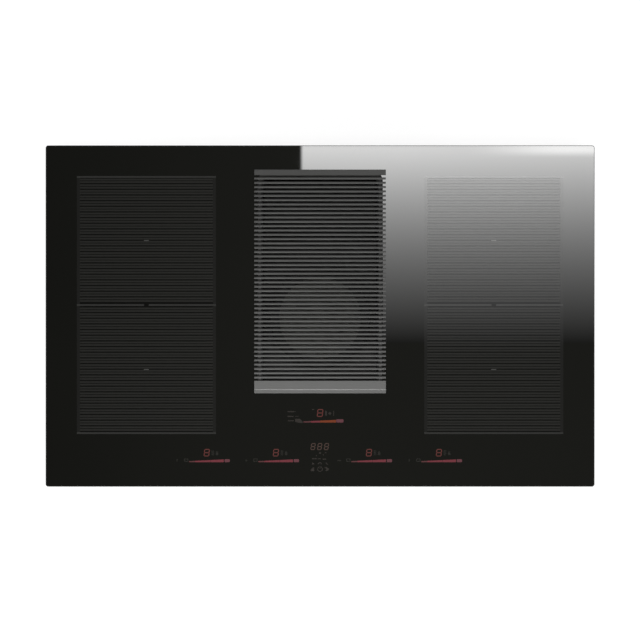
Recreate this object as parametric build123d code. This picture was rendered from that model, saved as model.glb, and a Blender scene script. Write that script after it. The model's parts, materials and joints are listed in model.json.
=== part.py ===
from build123d import *

import os
from math import atan2, cos, degrees, radians, sin

# Downdraft induction cooktop, millimetres. X runs to the right, Y to the rear, Z up.
# The origin is under the middle of the glass, at the underside of the blower housing.

# Glass: its depth is the control strip, the grille and the strip behind the grille
GLASS_WIDTH = 830.0
CONTROL_STRIP = 141.28
REAR_STRIP = 36.6
GLASS_THICK = 4.0
GLASS_CORNER = 4.0
GLASS_BEVEL = 0.8
BOND_THICK = 1.0
OVERLAP_SIDES = 25.0
OVERLAP_FRONT = 13.0
SEAL_WIDTH = 10.0
SEAL_THICK = 2.0
SEAL_INSET = 2.0
SEAL_CORNER = 14.0

# Grille
GRILLE_WIDTH = 198.8
GRILLE_PROUD = 4.0
FRONT_BAR = 18.8
FRONT_LIP = 5.0
LIP_DROP = 0.4
LIP_SLOPE = 1.0
REAR_BAR = 8.3
REAR_FALL = 1.5
REAR_BEVEL = 1.0
SLAT_COUNT = 47
SLAT_THICK = 2.9
SLAT_GAP = 3.64
SLAT_LAND = 1.6
SLAT_FALL = 0.6
SLAT_ROUND = 0.3
SLAT_TAPER = 0.6
OVERHANG = 4.6
RIB_THICK = 4.0
RIB_PLAY = 1.5
RIB_BITE = 1.0
RIB_DROP = 1.8
PAD_THICK = 2.0
PAD_LENGTH = 14.0
PAD_EDGE = 0.75
PAD_END = 40.0

# Well under the grille
LEDGE = 7.4
WELL_DEPTH = 89.0
WELL_WALL = 2.5
WELL_CORNER = 12.0
WELL_FILLET = 5.0
WELL_FLANGE = 8.6
GASKET_INSET = 2.0
INLET_X = 0.0
INLET_BACK = 113.72
WELL_HOLE = 70.0
COLLAR_HEIGHT = 10.0
STEP_HEIGHT = 39.5
STEP_REACH = 6.0
STEP_LENGTH = 30.0
STEP_THICK = 5.0

# Filter that stands in the well
TRAY_PLAY = 1.2
TRAY_LENGTH = 222.6
TRAY_HEIGHT = 22.0
TRAY_WALL = 2.0
GRIP_WIDTH = 40.0
GRIP_REACH = 12.0
FILTER_MARGIN = 10.0
FILTER_RIM = 14.2
FILTER_HEIGHT = 16.0
FILTER_WALL = 2.0
FILTER_LIP = 6.0
FILTER_EDGE = 1.0
COLLAR_DROP = 4.0
GUARD_THICK = 1.2
GUARD_PITCH = 11.0
GUARD_WEB = 1.8
SEAT_PLAY = 0.3

# Base tray of folded sheet
SHEET = 1.0
TRAY_DROP = 57.0
CUTOUT_PLAY = 3.0
TRAY_RIM = 8.0
FOLD_RADIUS = 6.0
HEM_HEIGHT = 6.0
WELL_ROOM = 6.0
VENT_WIDTH = 4.0
VENT_PITCH = 9.0
VENT_COUNT = 9
INTAKE_PITCH = 18.0
INTAKE_LENGTH = 18.0

# Blower
SCROLL_HEIGHT = 112.0
SCROLL_WALL = 2.5
SCROLL_START = 96.0
SCROLL_GROWTH = 18.0
TONGUE_ANGLE = 55.0
TONGUE_ROUND = 5.0
SCROLL_REACH = 211.0
RIM_WIDTH = 9.0
RIM_THICK = 2.5
SCROLL_ROUND = 2.0
WALL_RIB_REACH = 5.0
WALL_RIB_THICK = 2.0
WALL_RIB_ROOT = 1.0
WALL_RIB_SHARES = (0.0, 0.375, 0.8)
DUCT_WIDTH = 222.0
DUCT_HEIGHT = 89.0
DUCT_WALL = 2.0
DUCT_CORNER = 8.0
DUCT_SHIFT = 75.0
DUCT_TAPER = 12.0
DUCT_STUB = 19.0
PLATE_THICK = 1.5
PLATE_MARGIN = 3.0
MOUTH_RADIUS = 78.0
MOUTH_CURVE = 16.0
MOUTH_WALL = 2.0
MOUTH_FLANGE = 10.0
MOUTH_GAP = 2.0
GASKET_THICK = 4.0
GASKET_WIDTH = 8.0

# Impeller and its motor
IMPELLER_RADIUS = 80.0
BLADE_ROOT = 64.0
BLADE_COUNT = 36
BLADE_THICK = 1.6
BLADE_SWEEP = 16.0
BLADE_BELLY = 7.0
BLADE_INSET = 1.0
IMPELLER_BASE = 10.0
IMPELLER_WALL = 2.5
SHROUD_WIDTH = 6.0
MOTOR_RADIUS = 42.0
MOTOR_HEIGHT = 45.0
MOTOR_PLAY = 5.5
MOTOR_SHOULDER = 8.0
MOTOR_CONE = 6.0
DOME_EDGE = 6.0
SHAFT_RADIUS = 4.0
SHAFT_LIFT = 2.0
SHAFT_EDGE = 0.5
BEARING_RADIUS = 11.0
BEARING_WIDTH = 7.0
RUNNING_PLAY = 0.05
HUB_RADIUS = 10.0
HUB_HEIGHT = 12.0
MOTOR_PLATE_RADIUS = 60.0
MOTOR_PLATE_THICK = 1.5
GROMMET_HEIGHT = 3.0
GROMMET_RADIUS = 5.0
MOTOR_SCREW_CIRCLE = 53.0

# Printed fields on the glass, each over two induction coils
FIELD_TO_GRILLE = 58.1
FIELD_TO_SIDE = 47.3
FIELD_TO_FRONT = 79.7
FIELD_TO_REAR = 46.4
COIL_INSET = 6.0
COIL_CORNER = 58.0
COIL_EYE = 26.0
COIL_THICK = 4.0
CARRIER_THICK = 3.0
CARRIER_LIP = 3.0
MICA_THICK = 0.5
MICA_GAP = 0.1
FERRITE_THICK = 5.0
FERRITE_WIDTH = 14.0
FERRITE_LENGTH = 52.0
FERRITE_COUNT = 8
SENSOR_RADIUS = 6.0
SENSOR_WALL = 3.0
SENSOR_TIP = 1.5
COIL_PLATE_THICK = 1.5
COIL_PLATE_MARGIN = 3.0
COIL_PLATE_FOLD = 10.0
STANDOFF_RADIUS = 4.0
STANDOFF_INSET = 7.0

# Power electronics
BOARD_THICK = 1.6
BOARD_INSET = 10.0
BOARD_PLAY = 1.0
BOARD_GAP = 18.0
BOARD_TO_FAN = 12.0
BOARD_TRAY_WALL = 2.0
BOARD_TRAY_RIM = 12.0
BOARD_LIFT = 6.0
BOARD_POST_RADIUS = 4.0
BOARD_POST_INSET = 8.0
PARTS_LENGTH = 104.0
PARTS_PITCH = 26.0
PARTS_START = 30.0
CAPACITOR_RADIUS = 9.0
CAPACITOR_HEIGHT = 22.0
CAPACITOR_INSET = 26.0
FILM_WIDTH = 32.0
FILM_DEPTH = 18.0
FILM_HEIGHT = 20.0
FILM_INSET = 62.0
CHOKE_RADIUS = 17.0
CHOKE_EYE = 7.5
CHOKE_HEIGHT = 19.0
CHOKE_INSET = 30.0
HEATSINK_WIDTH = 62.0
HEATSINK_SHIFT = 10.0
HEATSINK_INSET = 6.0
HEATSINK_HEIGHT = 26.0
HEATSINK_BASE = 5.0
FIN_COUNT = 9
FIN_THICK = 2.0
FAN_SIZE = 92.0
FAN_HEIGHT = 25.0
FAN_CORNER = 6.0
FAN_BORE = 43.0
FAN_TO_REAR = 112.0
FAN_STRUT = 5.0
FAN_FLOOR = 3.0
FAN_SEAT = 5.0
FAN_HUB = 17.0
FAN_TIP = 41.5
FAN_BLADES = 7
FAN_BLADE_THICK = 1.6
FAN_BLADE_PITCH = 40.0
FAN_PIN = 1.5
SIDE_BOARD_WIDTH = 44.0
SIDE_BOARD_LENGTH = 210.0
SIDE_BOARD_GAP = 4.1
SIDE_BOARD_TO_TERMINAL = 47.0
SIDE_POST_RADIUS = 3.0
SIDE_POST_INSET = 5.0
SIDE_CHOKE_START = 40.0
RELAY_WIDTH = 30.0
RELAY_DEPTH = 14.0
RELAY_HEIGHT = 16.0
RELAY_COUNT = 3
RELAY_START = 80.0
RELAY_PITCH = 24.0
BULK_RADIUS = 11.0
BULK_HEIGHT = 26.0
BULK_END = 40.0
TERMINAL_TO_WALL = 13.0
TERMINAL_WIDTH = 40.0
TERMINAL_DEPTH = 24.0
TERMINAL_HEIGHT = 22.0
TERMINAL_CORNER = 1.5
TERMINAL_WAYS = 5
TERMINAL_PITCH = 7.3
TERMINAL_WAY_RADIUS = 2.4
TERMINAL_WAY_DEPTH = 5.0
GLAND_HEIGHT = 15.0
GLAND_BORE = 7.0
GLAND_THREAD = 10.0
GLAND_NUT = 12.5
GLAND_NUT_THICK = 6.0
GLAND_LOCKNUT_THICK = 5.0
GLAND_OUT = 9.0
GLAND_IN = 7.0

# Touch controls under the front of the glass
CONTROL_WIDTH = 444.0
CONTROL_DEPTH = 40.0
CONTROL_INSET = 28.0
CONTROL_TAB_WIDTH = 96.0
CONTROL_TAB_GAP = 13.3
CONTROL_DROP = 8.0
CONTROL_RIM = 10.0
CONTROL_WALL = 2.0
LEG_RADIUS = 4.0
LEG_INSET = 5.0
LEG_SPREAD = 32.0
DISPLAY_HEIGHT = 6.0
DISPLAY_WIDTH = 12.0
DISPLAY_DEPTH = 14.0
TIMER_WIDTH = 30.0
GUIDE_LENGTH = 70.0
GUIDE_WIDTH = 6.0
SLIDER_XS = (-170.9, -66.3, 74.4, 180.2)
SLIDER_INSET = 38.8
DIGIT_INSET = 51.8
TIMER_INSET = 61.0
VENT_SLIDER_GAP = 42.3
VENT_DIGIT_GAP = 30.3

# Fasteners and clamps
SCREW_RADIUS = 2.0
SCREW_PLAY = 0.2
SCREW_HEAD = 3.8
SCREW_HEAD_HEIGHT = 2.2
CLAMP_WIDTH = 24.0
CLAMP_HEIGHT = 34.0
CLAMP_SPRING = 1.0
CLAMP_BOW = 9.0
CLAMP_Y = 130.0
CLAMP_LIFT = 2.0
CLAMP_PAD = 4.0
CLAMP_SCREW_LIFT = 7.8
BRACKET_WIDTH = 20.0
BRACKET_FOOT = 16.0
BRACKET_INSET = 9.0
THREAD_PAST = 3.0


class Area:
    """A rectangle seen from above, given by its left, right, front and rear edges."""

    def __init__(self, left, right, front, rear):
        self.left = left
        self.right = right
        self.front = front
        self.rear = rear

    def grown(self, by):
        """The same rectangle with each edge moved outwards."""
        return Area(self.left - by, self.right + by, self.front - by, self.rear + by)

    def outline(self, corner=0.0):
        """The flat face, with its corners rounded."""
        width = self.right - self.left
        depth = self.rear - self.front
        shape = RectangleRounded(width, depth, corner) if corner else Rectangle(width, depth)
        return Pos((self.left + self.right) / 2, (self.front + self.rear) / 2) * shape

    def slab(self, low, high, corner=0.0):
        """The solid over this rectangle between two heights."""
        return extrude(Pos(0, 0, low) * self.outline(corner), high - low)

    def frame(self, low, high, wall, corner=0.0):
        """A ring of this wall inside the rectangle's edges."""
        inner = self.grown(-wall).slab(low - 1, high + 1, max(corner - wall, 0.0))
        return self.slab(low, high, corner) - inner

    def corners(self, inset):
        """The four points that lie this far inside the corners."""
        inner = self.grown(-inset)
        return [(x, y) for x in (inner.left, inner.right) for y in (inner.front, inner.rear)]


def square(x, y, width, depth):
    """The rectangle of this size round a point."""
    return Area(x - width / 2, x + width / 2, y - depth / 2, y + depth / 2)


# Heights, from the blower's underside up to the grille's top
GASKET_LOW = SCROLL_HEIGHT + MOUTH_WALL
WELL_LOW = GASKET_LOW + GASKET_THICK
WELL_RIM = WELL_LOW + WELL_DEPTH
GLASS_LOW = WELL_RIM + BOND_THICK
GLASS_TOP = GLASS_LOW + GLASS_THICK
GRILLE_TOP = GLASS_TOP + GRILLE_PROUD
TRAY_LOW = WELL_RIM - TRAY_DROP
TRAY_FLOOR = TRAY_LOW + SHEET
WELL_FLOOR = WELL_LOW + WELL_WALL
STEP_TOP = WELL_FLOOR + STEP_HEIGHT
FILTER_LOW = STEP_TOP + SEAT_PLAY

# Outlines, from the glass inwards
SLAT_PITCH = SLAT_THICK + SLAT_GAP
GRILLE_LENGTH = FRONT_BAR + REAR_BAR + SLAT_COUNT * SLAT_PITCH + SLAT_GAP
GLASS_DEPTH = CONTROL_STRIP + GRILLE_LENGTH + REAR_STRIP
GLASS = square(0, 0, GLASS_WIDTH, GLASS_DEPTH)
CUTOUT = Area(
    GLASS.left + OVERLAP_SIDES,
    GLASS.right - OVERLAP_SIDES,
    GLASS.front + OVERLAP_FRONT,
    GLASS.rear - OVERLAP_FRONT,
)
RIM = CUTOUT.grown(-CUTOUT_PLAY)
TRAY = RIM.grown(-TRAY_RIM)
GRILLE = Area(
    -GRILLE_WIDTH / 2, GRILLE_WIDTH / 2, GLASS.front + CONTROL_STRIP, GLASS.rear - REAR_STRIP
)
OPENING = GRILLE.grown(-OVERHANG)
WELL_IN = OPENING.grown(-LEDGE)
WELL_OUT = WELL_IN.grown(WELL_WALL)
WELL_PASS = WELL_OUT.grown(WELL_ROOM)
INLET_Y = GRILLE.front + INLET_BACK

# The filter's tray, and the round filter in it
FILTER_TRAY = Area(
    WELL_IN.left + TRAY_PLAY,
    WELL_IN.right - TRAY_PLAY,
    WELL_IN.front + TRAY_PLAY,
    WELL_IN.front + TRAY_PLAY + TRAY_LENGTH,
)
FILTER_RADIUS = FILTER_TRAY.right - FILTER_MARGIN
FILTER_EYE = FILTER_RADIUS - FILTER_RIM

# The blower: its plate covers the four quarter arcs of the scroll
SCROLL_REAR = INLET_Y + SCROLL_REACH
DUCT_X = INLET_X + DUCT_SHIFT
SPLIT = SCROLL_HEIGHT / 2
SCROLL_STEP = SCROLL_GROWTH / 2
BLOWER_PLATE = Area(
    INLET_X - SCROLL_START - 3 * SCROLL_STEP,
    INLET_X + SCROLL_START + 7 * SCROLL_STEP,
    INLET_Y - SCROLL_START - 5 * SCROLL_STEP,
    INLET_Y + SCROLL_START + SCROLL_STEP,
).grown(SCROLL_WALL + PLATE_MARGIN)

# The impeller's and the motor's heights
MOTOR_PLATE_LOW = SCROLL_WALL + GROMMET_HEIGHT
MOTOR_LOW = MOTOR_PLATE_LOW + MOTOR_PLATE_THICK
MOTOR_TOP = MOTOR_LOW + MOTOR_HEIGHT
DOME_TOP = MOTOR_TOP + MOTOR_PLAY + IMPELLER_WALL
IMPELLER_TOP = SCROLL_HEIGHT + MOUTH_WALL - MOUTH_CURVE - MOUTH_GAP

# Heights of the coil stack, down from the glass
MICA_LOW = GLASS_LOW - MICA_GAP - MICA_THICK
COIL_LOW = MICA_LOW - COIL_THICK
CARRIER_LOW = COIL_LOW - CARRIER_THICK
FERRITE_LOW = CARRIER_LOW - FERRITE_THICK
COIL_PLATE_LOW = FERRITE_LOW - COIL_PLATE_THICK
BOARD_LOW = TRAY_FLOOR + BOARD_TRAY_WALL + BOARD_LIFT
CONTROL_LOW = GLASS_LOW - CONTROL_DROP
SIDES = {"left": -1, "right": 1}

# The right-hand field, and the two coils under each field
FIELD = Area(
    GRILLE.right + FIELD_TO_GRILLE,
    GLASS.right - FIELD_TO_SIDE,
    GLASS.front + FIELD_TO_FRONT,
    GLASS.rear - FIELD_TO_REAR,
)
FIELD_HALF = (FIELD.rear - FIELD.front) / 2
ZONE_X = (FIELD.left + FIELD.right) / 2
COIL_YS = {"front": FIELD.front + FIELD_HALF / 2, "rear": FIELD.rear - FIELD_HALF / 2}
COIL_WIDTH = FIELD.right - FIELD.left - 2 * COIL_INSET
COIL_DEPTH = FIELD_HALF - 2 * COIL_INSET
BOARD_WIDTH = COIL_WIDTH - 2 * BOARD_INSET

# Places of the controls, from the glass's front edge and from the grille
CONTROL_FRONT = GLASS.front + CONTROL_INSET
CONTROL_REAR = CONTROL_FRONT + CONTROL_DEPTH
CONTROL_TAB_REAR = GRILLE.front - CONTROL_TAB_GAP
SLIDER_Y = GLASS.front + SLIDER_INSET
DIGIT_Y = GLASS.front + DIGIT_INSET
TIMER_Y = GLASS.front + TIMER_INSET
VENT_SLIDER_Y = GRILLE.front - VENT_SLIDER_GAP
VENT_DIGIT_Y = GRILLE.front - VENT_DIGIT_GAP

# Places of the power electronics, from the controls in front and the tray's rear wall
FAN_Y = GLASS.rear - FAN_TO_REAR
BOARD_FRONT = CONTROL_REAR + BOARD_GAP
BOARD_REAR = FAN_Y - FAN_SIZE / 2 - BOARD_TO_FAN
TERMINAL_Y = TRAY.rear - TERMINAL_TO_WALL - TERMINAL_DEPTH / 2
SIDE_BOARD_X = WELL_PASS.right + SHEET + SIDE_BOARD_GAP + SIDE_BOARD_WIDTH / 2
SIDE_BOARD_REAR = TERMINAL_Y - TERMINAL_DEPTH / 2 - SIDE_BOARD_TO_TERMINAL
SIDE_BOARD_FRONT = SIDE_BOARD_REAR - SIDE_BOARD_LENGTH


def post(x, y, low, high, radius):
    """An upright cylinder between two heights."""
    return Pos(x, y, low) * extrude(Circle(radius), high - low)


def ring(x, y, low, high, outer, inner):
    """An upright tube between two heights."""
    return Pos(x, y, low) * extrude(Circle(outer) - Circle(inner), high - low)


def bar_in_x(outline, left, right):
    """The solid with this outline of (y, z) points between two x positions."""
    face = make_face(Polyline(*[(left, y, z) for y, z in outline], close=True))
    return extrude(face, right - left, dir=(1, 0, 0))


def bar_in_y(outline, front, rear):
    """The solid with this outline of (x, z) points between two y positions."""
    face = make_face(Polyline(*[(x, front, z) for x, z in outline], close=True))
    return extrude(face, rear - front, dir=(0, 1, 0))


def turned(x, y, outline):
    """The solid of revolution of (radius, z) points about an upright axis."""
    face = make_face(Polyline(*[(radius, 0, z) for radius, z in outline], close=True))
    return Pos(x, y, 0) * revolve(face, Axis.Z)


def cut(solid, holes):
    """The solid less every hole."""
    return solid - list(holes)


def screw(x, y, under_head, length):
    """A hexagon head screw whose shank runs down from under its head."""
    shank = post(0, 0, -length, SCREW_HEAD_HEIGHT / 2, SCREW_RADIUS)
    head = extrude(RegularPolygon(SCREW_HEAD, 6), SCREW_HEAD_HEIGHT)
    return Pos(x, y, under_head) * (head + shank)


def clearance_hole(x, y, low, high):
    """The hole that a screw passes through."""
    return post(x, y, low - 1, high + 1, SCREW_RADIUS + SCREW_PLAY)


def group(solids):
    """Separate solids kept together as one sub-part."""
    return Compound([part.solid() for part in solids])


# ---- Glass and its seals --------------------------------------------------------


def glass_panel():
    """Ceramic glass with a ground edge and a rounded opening over the well."""
    plate = GLASS.slab(GLASS_LOW, GLASS_TOP, GLASS_CORNER)
    plate = chamfer(plate.edges().group_by(Axis.Z)[-1], GLASS_BEVEL)
    return plate - OPENING.slab(GLASS_LOW - 1, GLASS_TOP + 1, WELL_CORNER)


def worktop_seal():
    """Foam tape under the glass along its edge, outside the cut-out."""
    area = GLASS.grown(-SEAL_INSET)
    return area.frame(GLASS_LOW - SEAL_THICK, GLASS_LOW, SEAL_WIDTH, SEAL_CORNER)


def glass_bond():
    """Silicone bead between the glass and the tray's rim."""
    return RIM.frame(WELL_RIM, GLASS_LOW, TRAY_RIM, TRAY_RIM + FOLD_RADIUS)


def well_gasket():
    """Gasket between the glass and the well's flange."""
    area = OPENING.grown(WELL_FLANGE)
    return area.frame(WELL_RIM, GLASS_LOW, WELL_FLANGE - GASKET_INSET, WELL_CORNER + WELL_FLANGE)


# ---- Grille ---------------------------------------------------------------------


def slat_outline(front, low, high):
    """One slat from the side: a flat land along its front edge, then a slope to the rear."""
    return [
        (front, low),
        (front, high - SLAT_ROUND),
        (front + SLAT_ROUND, high),
        (front + SLAT_LAND, high),
        (front + SLAT_THICK, high - SLAT_FALL),
        (front + SLAT_THICK, low),
    ]


def web_outline(front, low, high):
    """The deep part of one slat from the side, tapered to its lower edge."""
    rear = front + SLAT_THICK
    return [(front, low), (front, high), (rear, high), (rear - SLAT_TAPER, low)]


def grille():
    """Front and rear bars and the slats between them, on a frame of ribs inside the opening."""
    rest = GLASS_TOP + SEAT_PLAY
    foot = WELL_RIM + SEAT_PLAY + PAD_THICK
    ribs = OPENING.grown(-RIB_PLAY)
    inner = ribs.grown(-RIB_THICK)
    lip = GRILLE.front + FRONT_LIP
    rear = GRILLE.rear - REAR_BEVEL
    front_bar = [
        (GRILLE.front, rest),
        (GRILLE.front, GRILLE_TOP - LIP_DROP - SLAT_ROUND),
        (GRILLE.front + SLAT_ROUND, GRILLE_TOP - LIP_DROP),
        (lip, GRILLE_TOP - LIP_DROP),
        (lip + LIP_SLOPE, GRILLE_TOP),
        (GRILLE.front + FRONT_BAR, GRILLE_TOP),
        (GRILLE.front + FRONT_BAR, rest),
    ]
    rear_bar = [
        (GRILLE.rear - REAR_BAR, rest),
        (GRILLE.rear - REAR_BAR, GRILLE_TOP),
        (rear, GRILLE_TOP - REAR_FALL),
        (GRILLE.rear, GRILLE_TOP - REAR_FALL - REAR_BEVEL),
        (GRILLE.rear, rest),
    ]
    body = ribs.frame(foot, rest + RIB_BITE, RIB_THICK, WELL_CORNER - RIB_PLAY)
    span = Area(GRILLE.left, GRILLE.right, GRILLE.front + FRONT_BAR, GRILLE.rear - REAR_BAR)
    body -= span.slab(rest - RIB_DROP, GRILLE_TOP)
    bars = [bar_in_x(outline, GRILLE.left, GRILLE.right) for outline in (front_bar, rear_bar)]
    for slat in range(SLAT_COUNT):
        front = GRILLE.front + FRONT_BAR + SLAT_GAP + slat * SLAT_PITCH
        bars.append(bar_in_x(slat_outline(front, rest, GRILLE_TOP), GRILLE.left, GRILLE.right))
        bars.append(Area(ribs.left, ribs.right, front, front + SLAT_THICK).slab(foot, rest))
        web = web_outline(front, WELL_RIM + SEAT_PLAY, foot)
        bars.append(bar_in_x(web, inner.left, inner.right))
    return body + bars


def grille_pads():
    """Soft pads under the rib frame, which rest on the well's ledge."""
    low = WELL_RIM + SEAT_PLAY
    ribs = OPENING.grown(-RIB_PLAY)
    wide = RIB_THICK - 2 * PAD_EDGE
    middle = (ribs.front + ribs.rear) / 2
    pads = []
    for x in (ribs.left + RIB_THICK / 2, ribs.right - RIB_THICK / 2):
        for y in (ribs.front + PAD_END, middle, ribs.rear - PAD_END):
            pads.append(square(x, y, wide, PAD_LENGTH).slab(low, low + PAD_THICK))
    return group(pads)


# ---- Well -----------------------------------------------------------------------


def intake_well():
    """Moulded well: flange under the glass, deep walls, a floor with a collared inlet and steps."""
    flange = OPENING.grown(WELL_FLANGE)
    body = flange.slab(WELL_RIM - WELL_WALL, WELL_RIM, WELL_CORNER + WELL_FLANGE)
    body += WELL_OUT.slab(WELL_LOW, WELL_RIM, WELL_CORNER + WELL_WALL)
    hollow = WELL_IN.slab(WELL_FLOOR, WELL_RIM + 1, WELL_CORNER)
    hollow = fillet(hollow.edges().group_by(Axis.Z)[0], WELL_FILLET)
    body -= hollow
    collar = WELL_FLOOR + COLLAR_HEIGHT
    body += post(INLET_X, INLET_Y, WELL_LOW, collar, WELL_HOLE + WELL_WALL)
    body -= post(INLET_X, INLET_Y, WELL_LOW - 1, collar + 1, WELL_HOLE)
    steps = []
    under = STEP_TOP - STEP_THICK
    for y in (FILTER_TRAY.front + WELL_CORNER, FILTER_TRAY.rear - WELL_CORNER - STEP_LENGTH):
        left = [
            (WELL_IN.left - 1, STEP_TOP),
            (WELL_IN.left + STEP_REACH, STEP_TOP),
            (WELL_IN.left + STEP_REACH, under),
            (WELL_IN.left - 1, under - STEP_REACH),
        ]
        right = [(WELL_IN.left + WELL_IN.right - x, z) for x, z in left]
        steps += [bar_in_y(left, y, y + STEP_LENGTH), bar_in_y(right, y, y + STEP_LENGTH)]
    return body + steps


# ---- Filter ---------------------------------------------------------------------


def filter_tray():
    """Shallow tray with a collared round seat for the filter and a finger grip at its rear."""
    area = FILTER_TRAY
    corner = WELL_CORNER - TRAY_PLAY
    top = FILTER_LOW + TRAY_HEIGHT
    floor = FILTER_LOW + TRAY_WALL
    body = area.slab(FILTER_LOW, floor, corner) + area.frame(FILTER_LOW, top, TRAY_WALL, corner)
    seat = FILTER_RADIUS + SEAT_PLAY
    collar = floor + FILTER_HEIGHT - COLLAR_DROP
    body += ring(INLET_X, INLET_Y, FILTER_LOW, collar, seat + TRAY_WALL, seat)
    body -= post(INLET_X, INLET_Y, FILTER_LOW - 1, floor + 1, seat - FILTER_LIP)
    middle = (area.left + area.right) / 2
    left = middle - GRIP_WIDTH / 2
    grip = Area(left, left + GRIP_WIDTH, area.rear - GRIP_REACH, area.rear - TRAY_WALL / 2)
    return body + grip.slab(top - TRAY_WALL, top)


def filter_ring():
    """Channel ring that holds the guard and the pad."""
    low = FILTER_LOW + TRAY_WALL
    high = low + FILTER_HEIGHT
    outline = [
        (FILTER_RADIUS, low),
        (FILTER_RADIUS, high - FILTER_EDGE),
        (FILTER_RADIUS - FILTER_EDGE, high),
        (FILTER_EYE, high),
        (FILTER_EYE, high - FILTER_WALL),
        (FILTER_RADIUS - FILTER_WALL, high - FILTER_WALL),
        (FILTER_RADIUS - FILTER_WALL, low + FILTER_WALL),
        (FILTER_EYE + FILTER_WALL, low + FILTER_WALL),
        (FILTER_EYE + FILTER_WALL, low),
    ]
    return turned(INLET_X, INLET_Y, outline)


def filter_guard():
    """Perforated disc: hexagonal holes in a staggered pattern."""
    top = FILTER_LOW + TRAY_WALL + FILTER_HEIGHT - FILTER_WALL
    radius = FILTER_RADIUS - FILTER_WALL - SEAT_PLAY
    hole = (GUARD_PITCH - GUARD_WEB) / 2 / cos(radians(30))
    rows = int(FILTER_EYE // (GUARD_PITCH * cos(radians(30))))
    holes = []
    for row in range(-rows, rows + 1):
        y = row * GUARD_PITCH * cos(radians(30))
        for column in range(-rows - 1, rows + 2):
            x = (column + row % 2 / 2) * GUARD_PITCH
            if (x * x + y * y) ** 0.5 + hole < FILTER_EYE:
                holes.append(Pos(x, y) * RegularPolygon(hole, 6, rotation=30))
    net = Face(Wire(Circle(radius).edges()), [Wire(hexagon.edges()) for hexagon in holes])
    return Pos(INLET_X, INLET_Y, top - GUARD_THICK) * extrude(net, GUARD_THICK)


def filter_pad():
    """Grease filter pad of layered aluminium mesh, under the guard."""
    low = FILTER_LOW + TRAY_WALL + FILTER_WALL
    high = FILTER_LOW + TRAY_WALL + FILTER_HEIGHT - FILTER_WALL - GUARD_THICK
    return post(INLET_X, INLET_Y, low, high, FILTER_RADIUS - FILTER_WALL - SEAT_PLAY)


# ---- Base tray ------------------------------------------------------------------


def bracket_points():
    """The four corners of the blower plate that the brackets stand on."""
    return BLOWER_PLATE.corners(BRACKET_INSET)


def standoff_points(side):
    """Where the posts under one coil plate stand."""
    return coil_plate_area(side).corners(STANDOFF_INSET)


def base_tray():
    """Folded sheet tray: rim under the glass, walls, floor with a hemmed hole for the well."""
    body = TRAY.slab(TRAY_LOW, WELL_RIM, FOLD_RADIUS)
    body += RIM.slab(WELL_RIM - SHEET, WELL_RIM, TRAY_RIM + FOLD_RADIUS)
    body -= TRAY.grown(-SHEET).slab(TRAY_FLOOR, WELL_RIM + 1, FOLD_RADIUS - SHEET)
    hem = WELL_PASS.grown(SHEET)
    body += hem.slab(TRAY_FLOOR, TRAY_FLOOR + HEM_HEIGHT, WELL_CORNER + WELL_ROOM)
    holes = [WELL_PASS.slab(TRAY_LOW - 1, WELL_RIM, WELL_CORNER + WELL_ROOM - SHEET)]
    for side in SIDES.values():
        for slot in range(VENT_COUNT):
            step = slot - (VENT_COUNT - 1) / 2
            length = 2 * (FAN_BORE**2 - (step * VENT_PITCH) ** 2) ** 0.5 - 2 * VENT_WIDTH
            under_fan = square(side * ZONE_X, FAN_Y + step * VENT_PITCH, length, VENT_WIDTH)
            intake_x = side * ZONE_X + step * INTAKE_PITCH
            intake = square(intake_x, CONTROL_REAR, VENT_WIDTH, INTAKE_LENGTH)
            holes += [vent.slab(TRAY_LOW - 1, TRAY_FLOOR + 1) for vent in (under_fan, intake)]
    holes += [clearance_hole(x, y, TRAY_LOW, TRAY_FLOOR) for x, y in bracket_points()]
    holes.append(gland_cylinder(TRAY.rear - 2 * SHEET, TRAY.rear + 1, GLAND_THREAD + SCREW_PLAY))
    return cut(body, holes + clamp_holes())


# ---- Worktop clamps -------------------------------------------------------------


def clamp_places():
    """Each clamp's side of the tray and its y position."""
    return [(side, y) for side in SIDES.values() for y in (-CLAMP_Y, CLAMP_Y)]


def clamp_screw_height():
    """The height of the screw that holds a clamp to the tray's wall."""
    return TRAY_LOW + CLAMP_SCREW_LIFT


def clamp_holes():
    """Screw holes through the tray's side walls."""
    length = 4 * SHEET
    holes = []
    for side, y in clamp_places():
        place = Pos(side * TRAY.right, y, clamp_screw_height()) * Rot(0, 90, 0)
        holes.append(place * Cylinder(SCREW_RADIUS + SCREW_PLAY, length))
    return holes


def worktop_clamps():
    """Leaf springs on the tray's sides, bowed out to grip the edge of the cut-out."""
    wall = TRAY.right
    low = TRAY_LOW + CLAMP_LIFT
    knee = low + 2 * SCREW_HEAD + CLAMP_PAD
    high = low + CLAMP_HEIGHT
    thick = CLAMP_SPRING
    outline = [
        (wall, low),
        (wall, knee),
        (wall + CLAMP_BOW - thick, (knee + high) / 2),
        (wall + thick, high),
        (wall + 2 * thick, high),
        (wall + CLAMP_BOW, (knee + high) / 2),
        (wall + thick, knee),
        (wall + thick, low),
    ]
    clamps = []
    for side, y in clamp_places():
        strip = bar_in_y([(side * x, z) for x, z in outline], y - CLAMP_WIDTH / 2, y + CLAMP_WIDTH / 2)
        place = Pos(side * wall, y, clamp_screw_height()) * Rot(0, 90, 0)
        clamps.append(strip - place * Cylinder(SCREW_RADIUS + SCREW_PLAY, 4 * thick))
    return group(clamps)


def clamp_screws():
    """Screws through the clamps into the tray's walls."""
    screws = []
    for side, y in clamp_places():
        place = Pos(side * (TRAY.right + CLAMP_SPRING), y, clamp_screw_height())
        length = SHEET + CLAMP_SPRING + THREAD_PAST
        screws.append(place * Rot(0, side * 90, 0) * screw(0, 0, 0, length))
    return group(screws)


# ---- Induction units ------------------------------------------------------------


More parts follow.
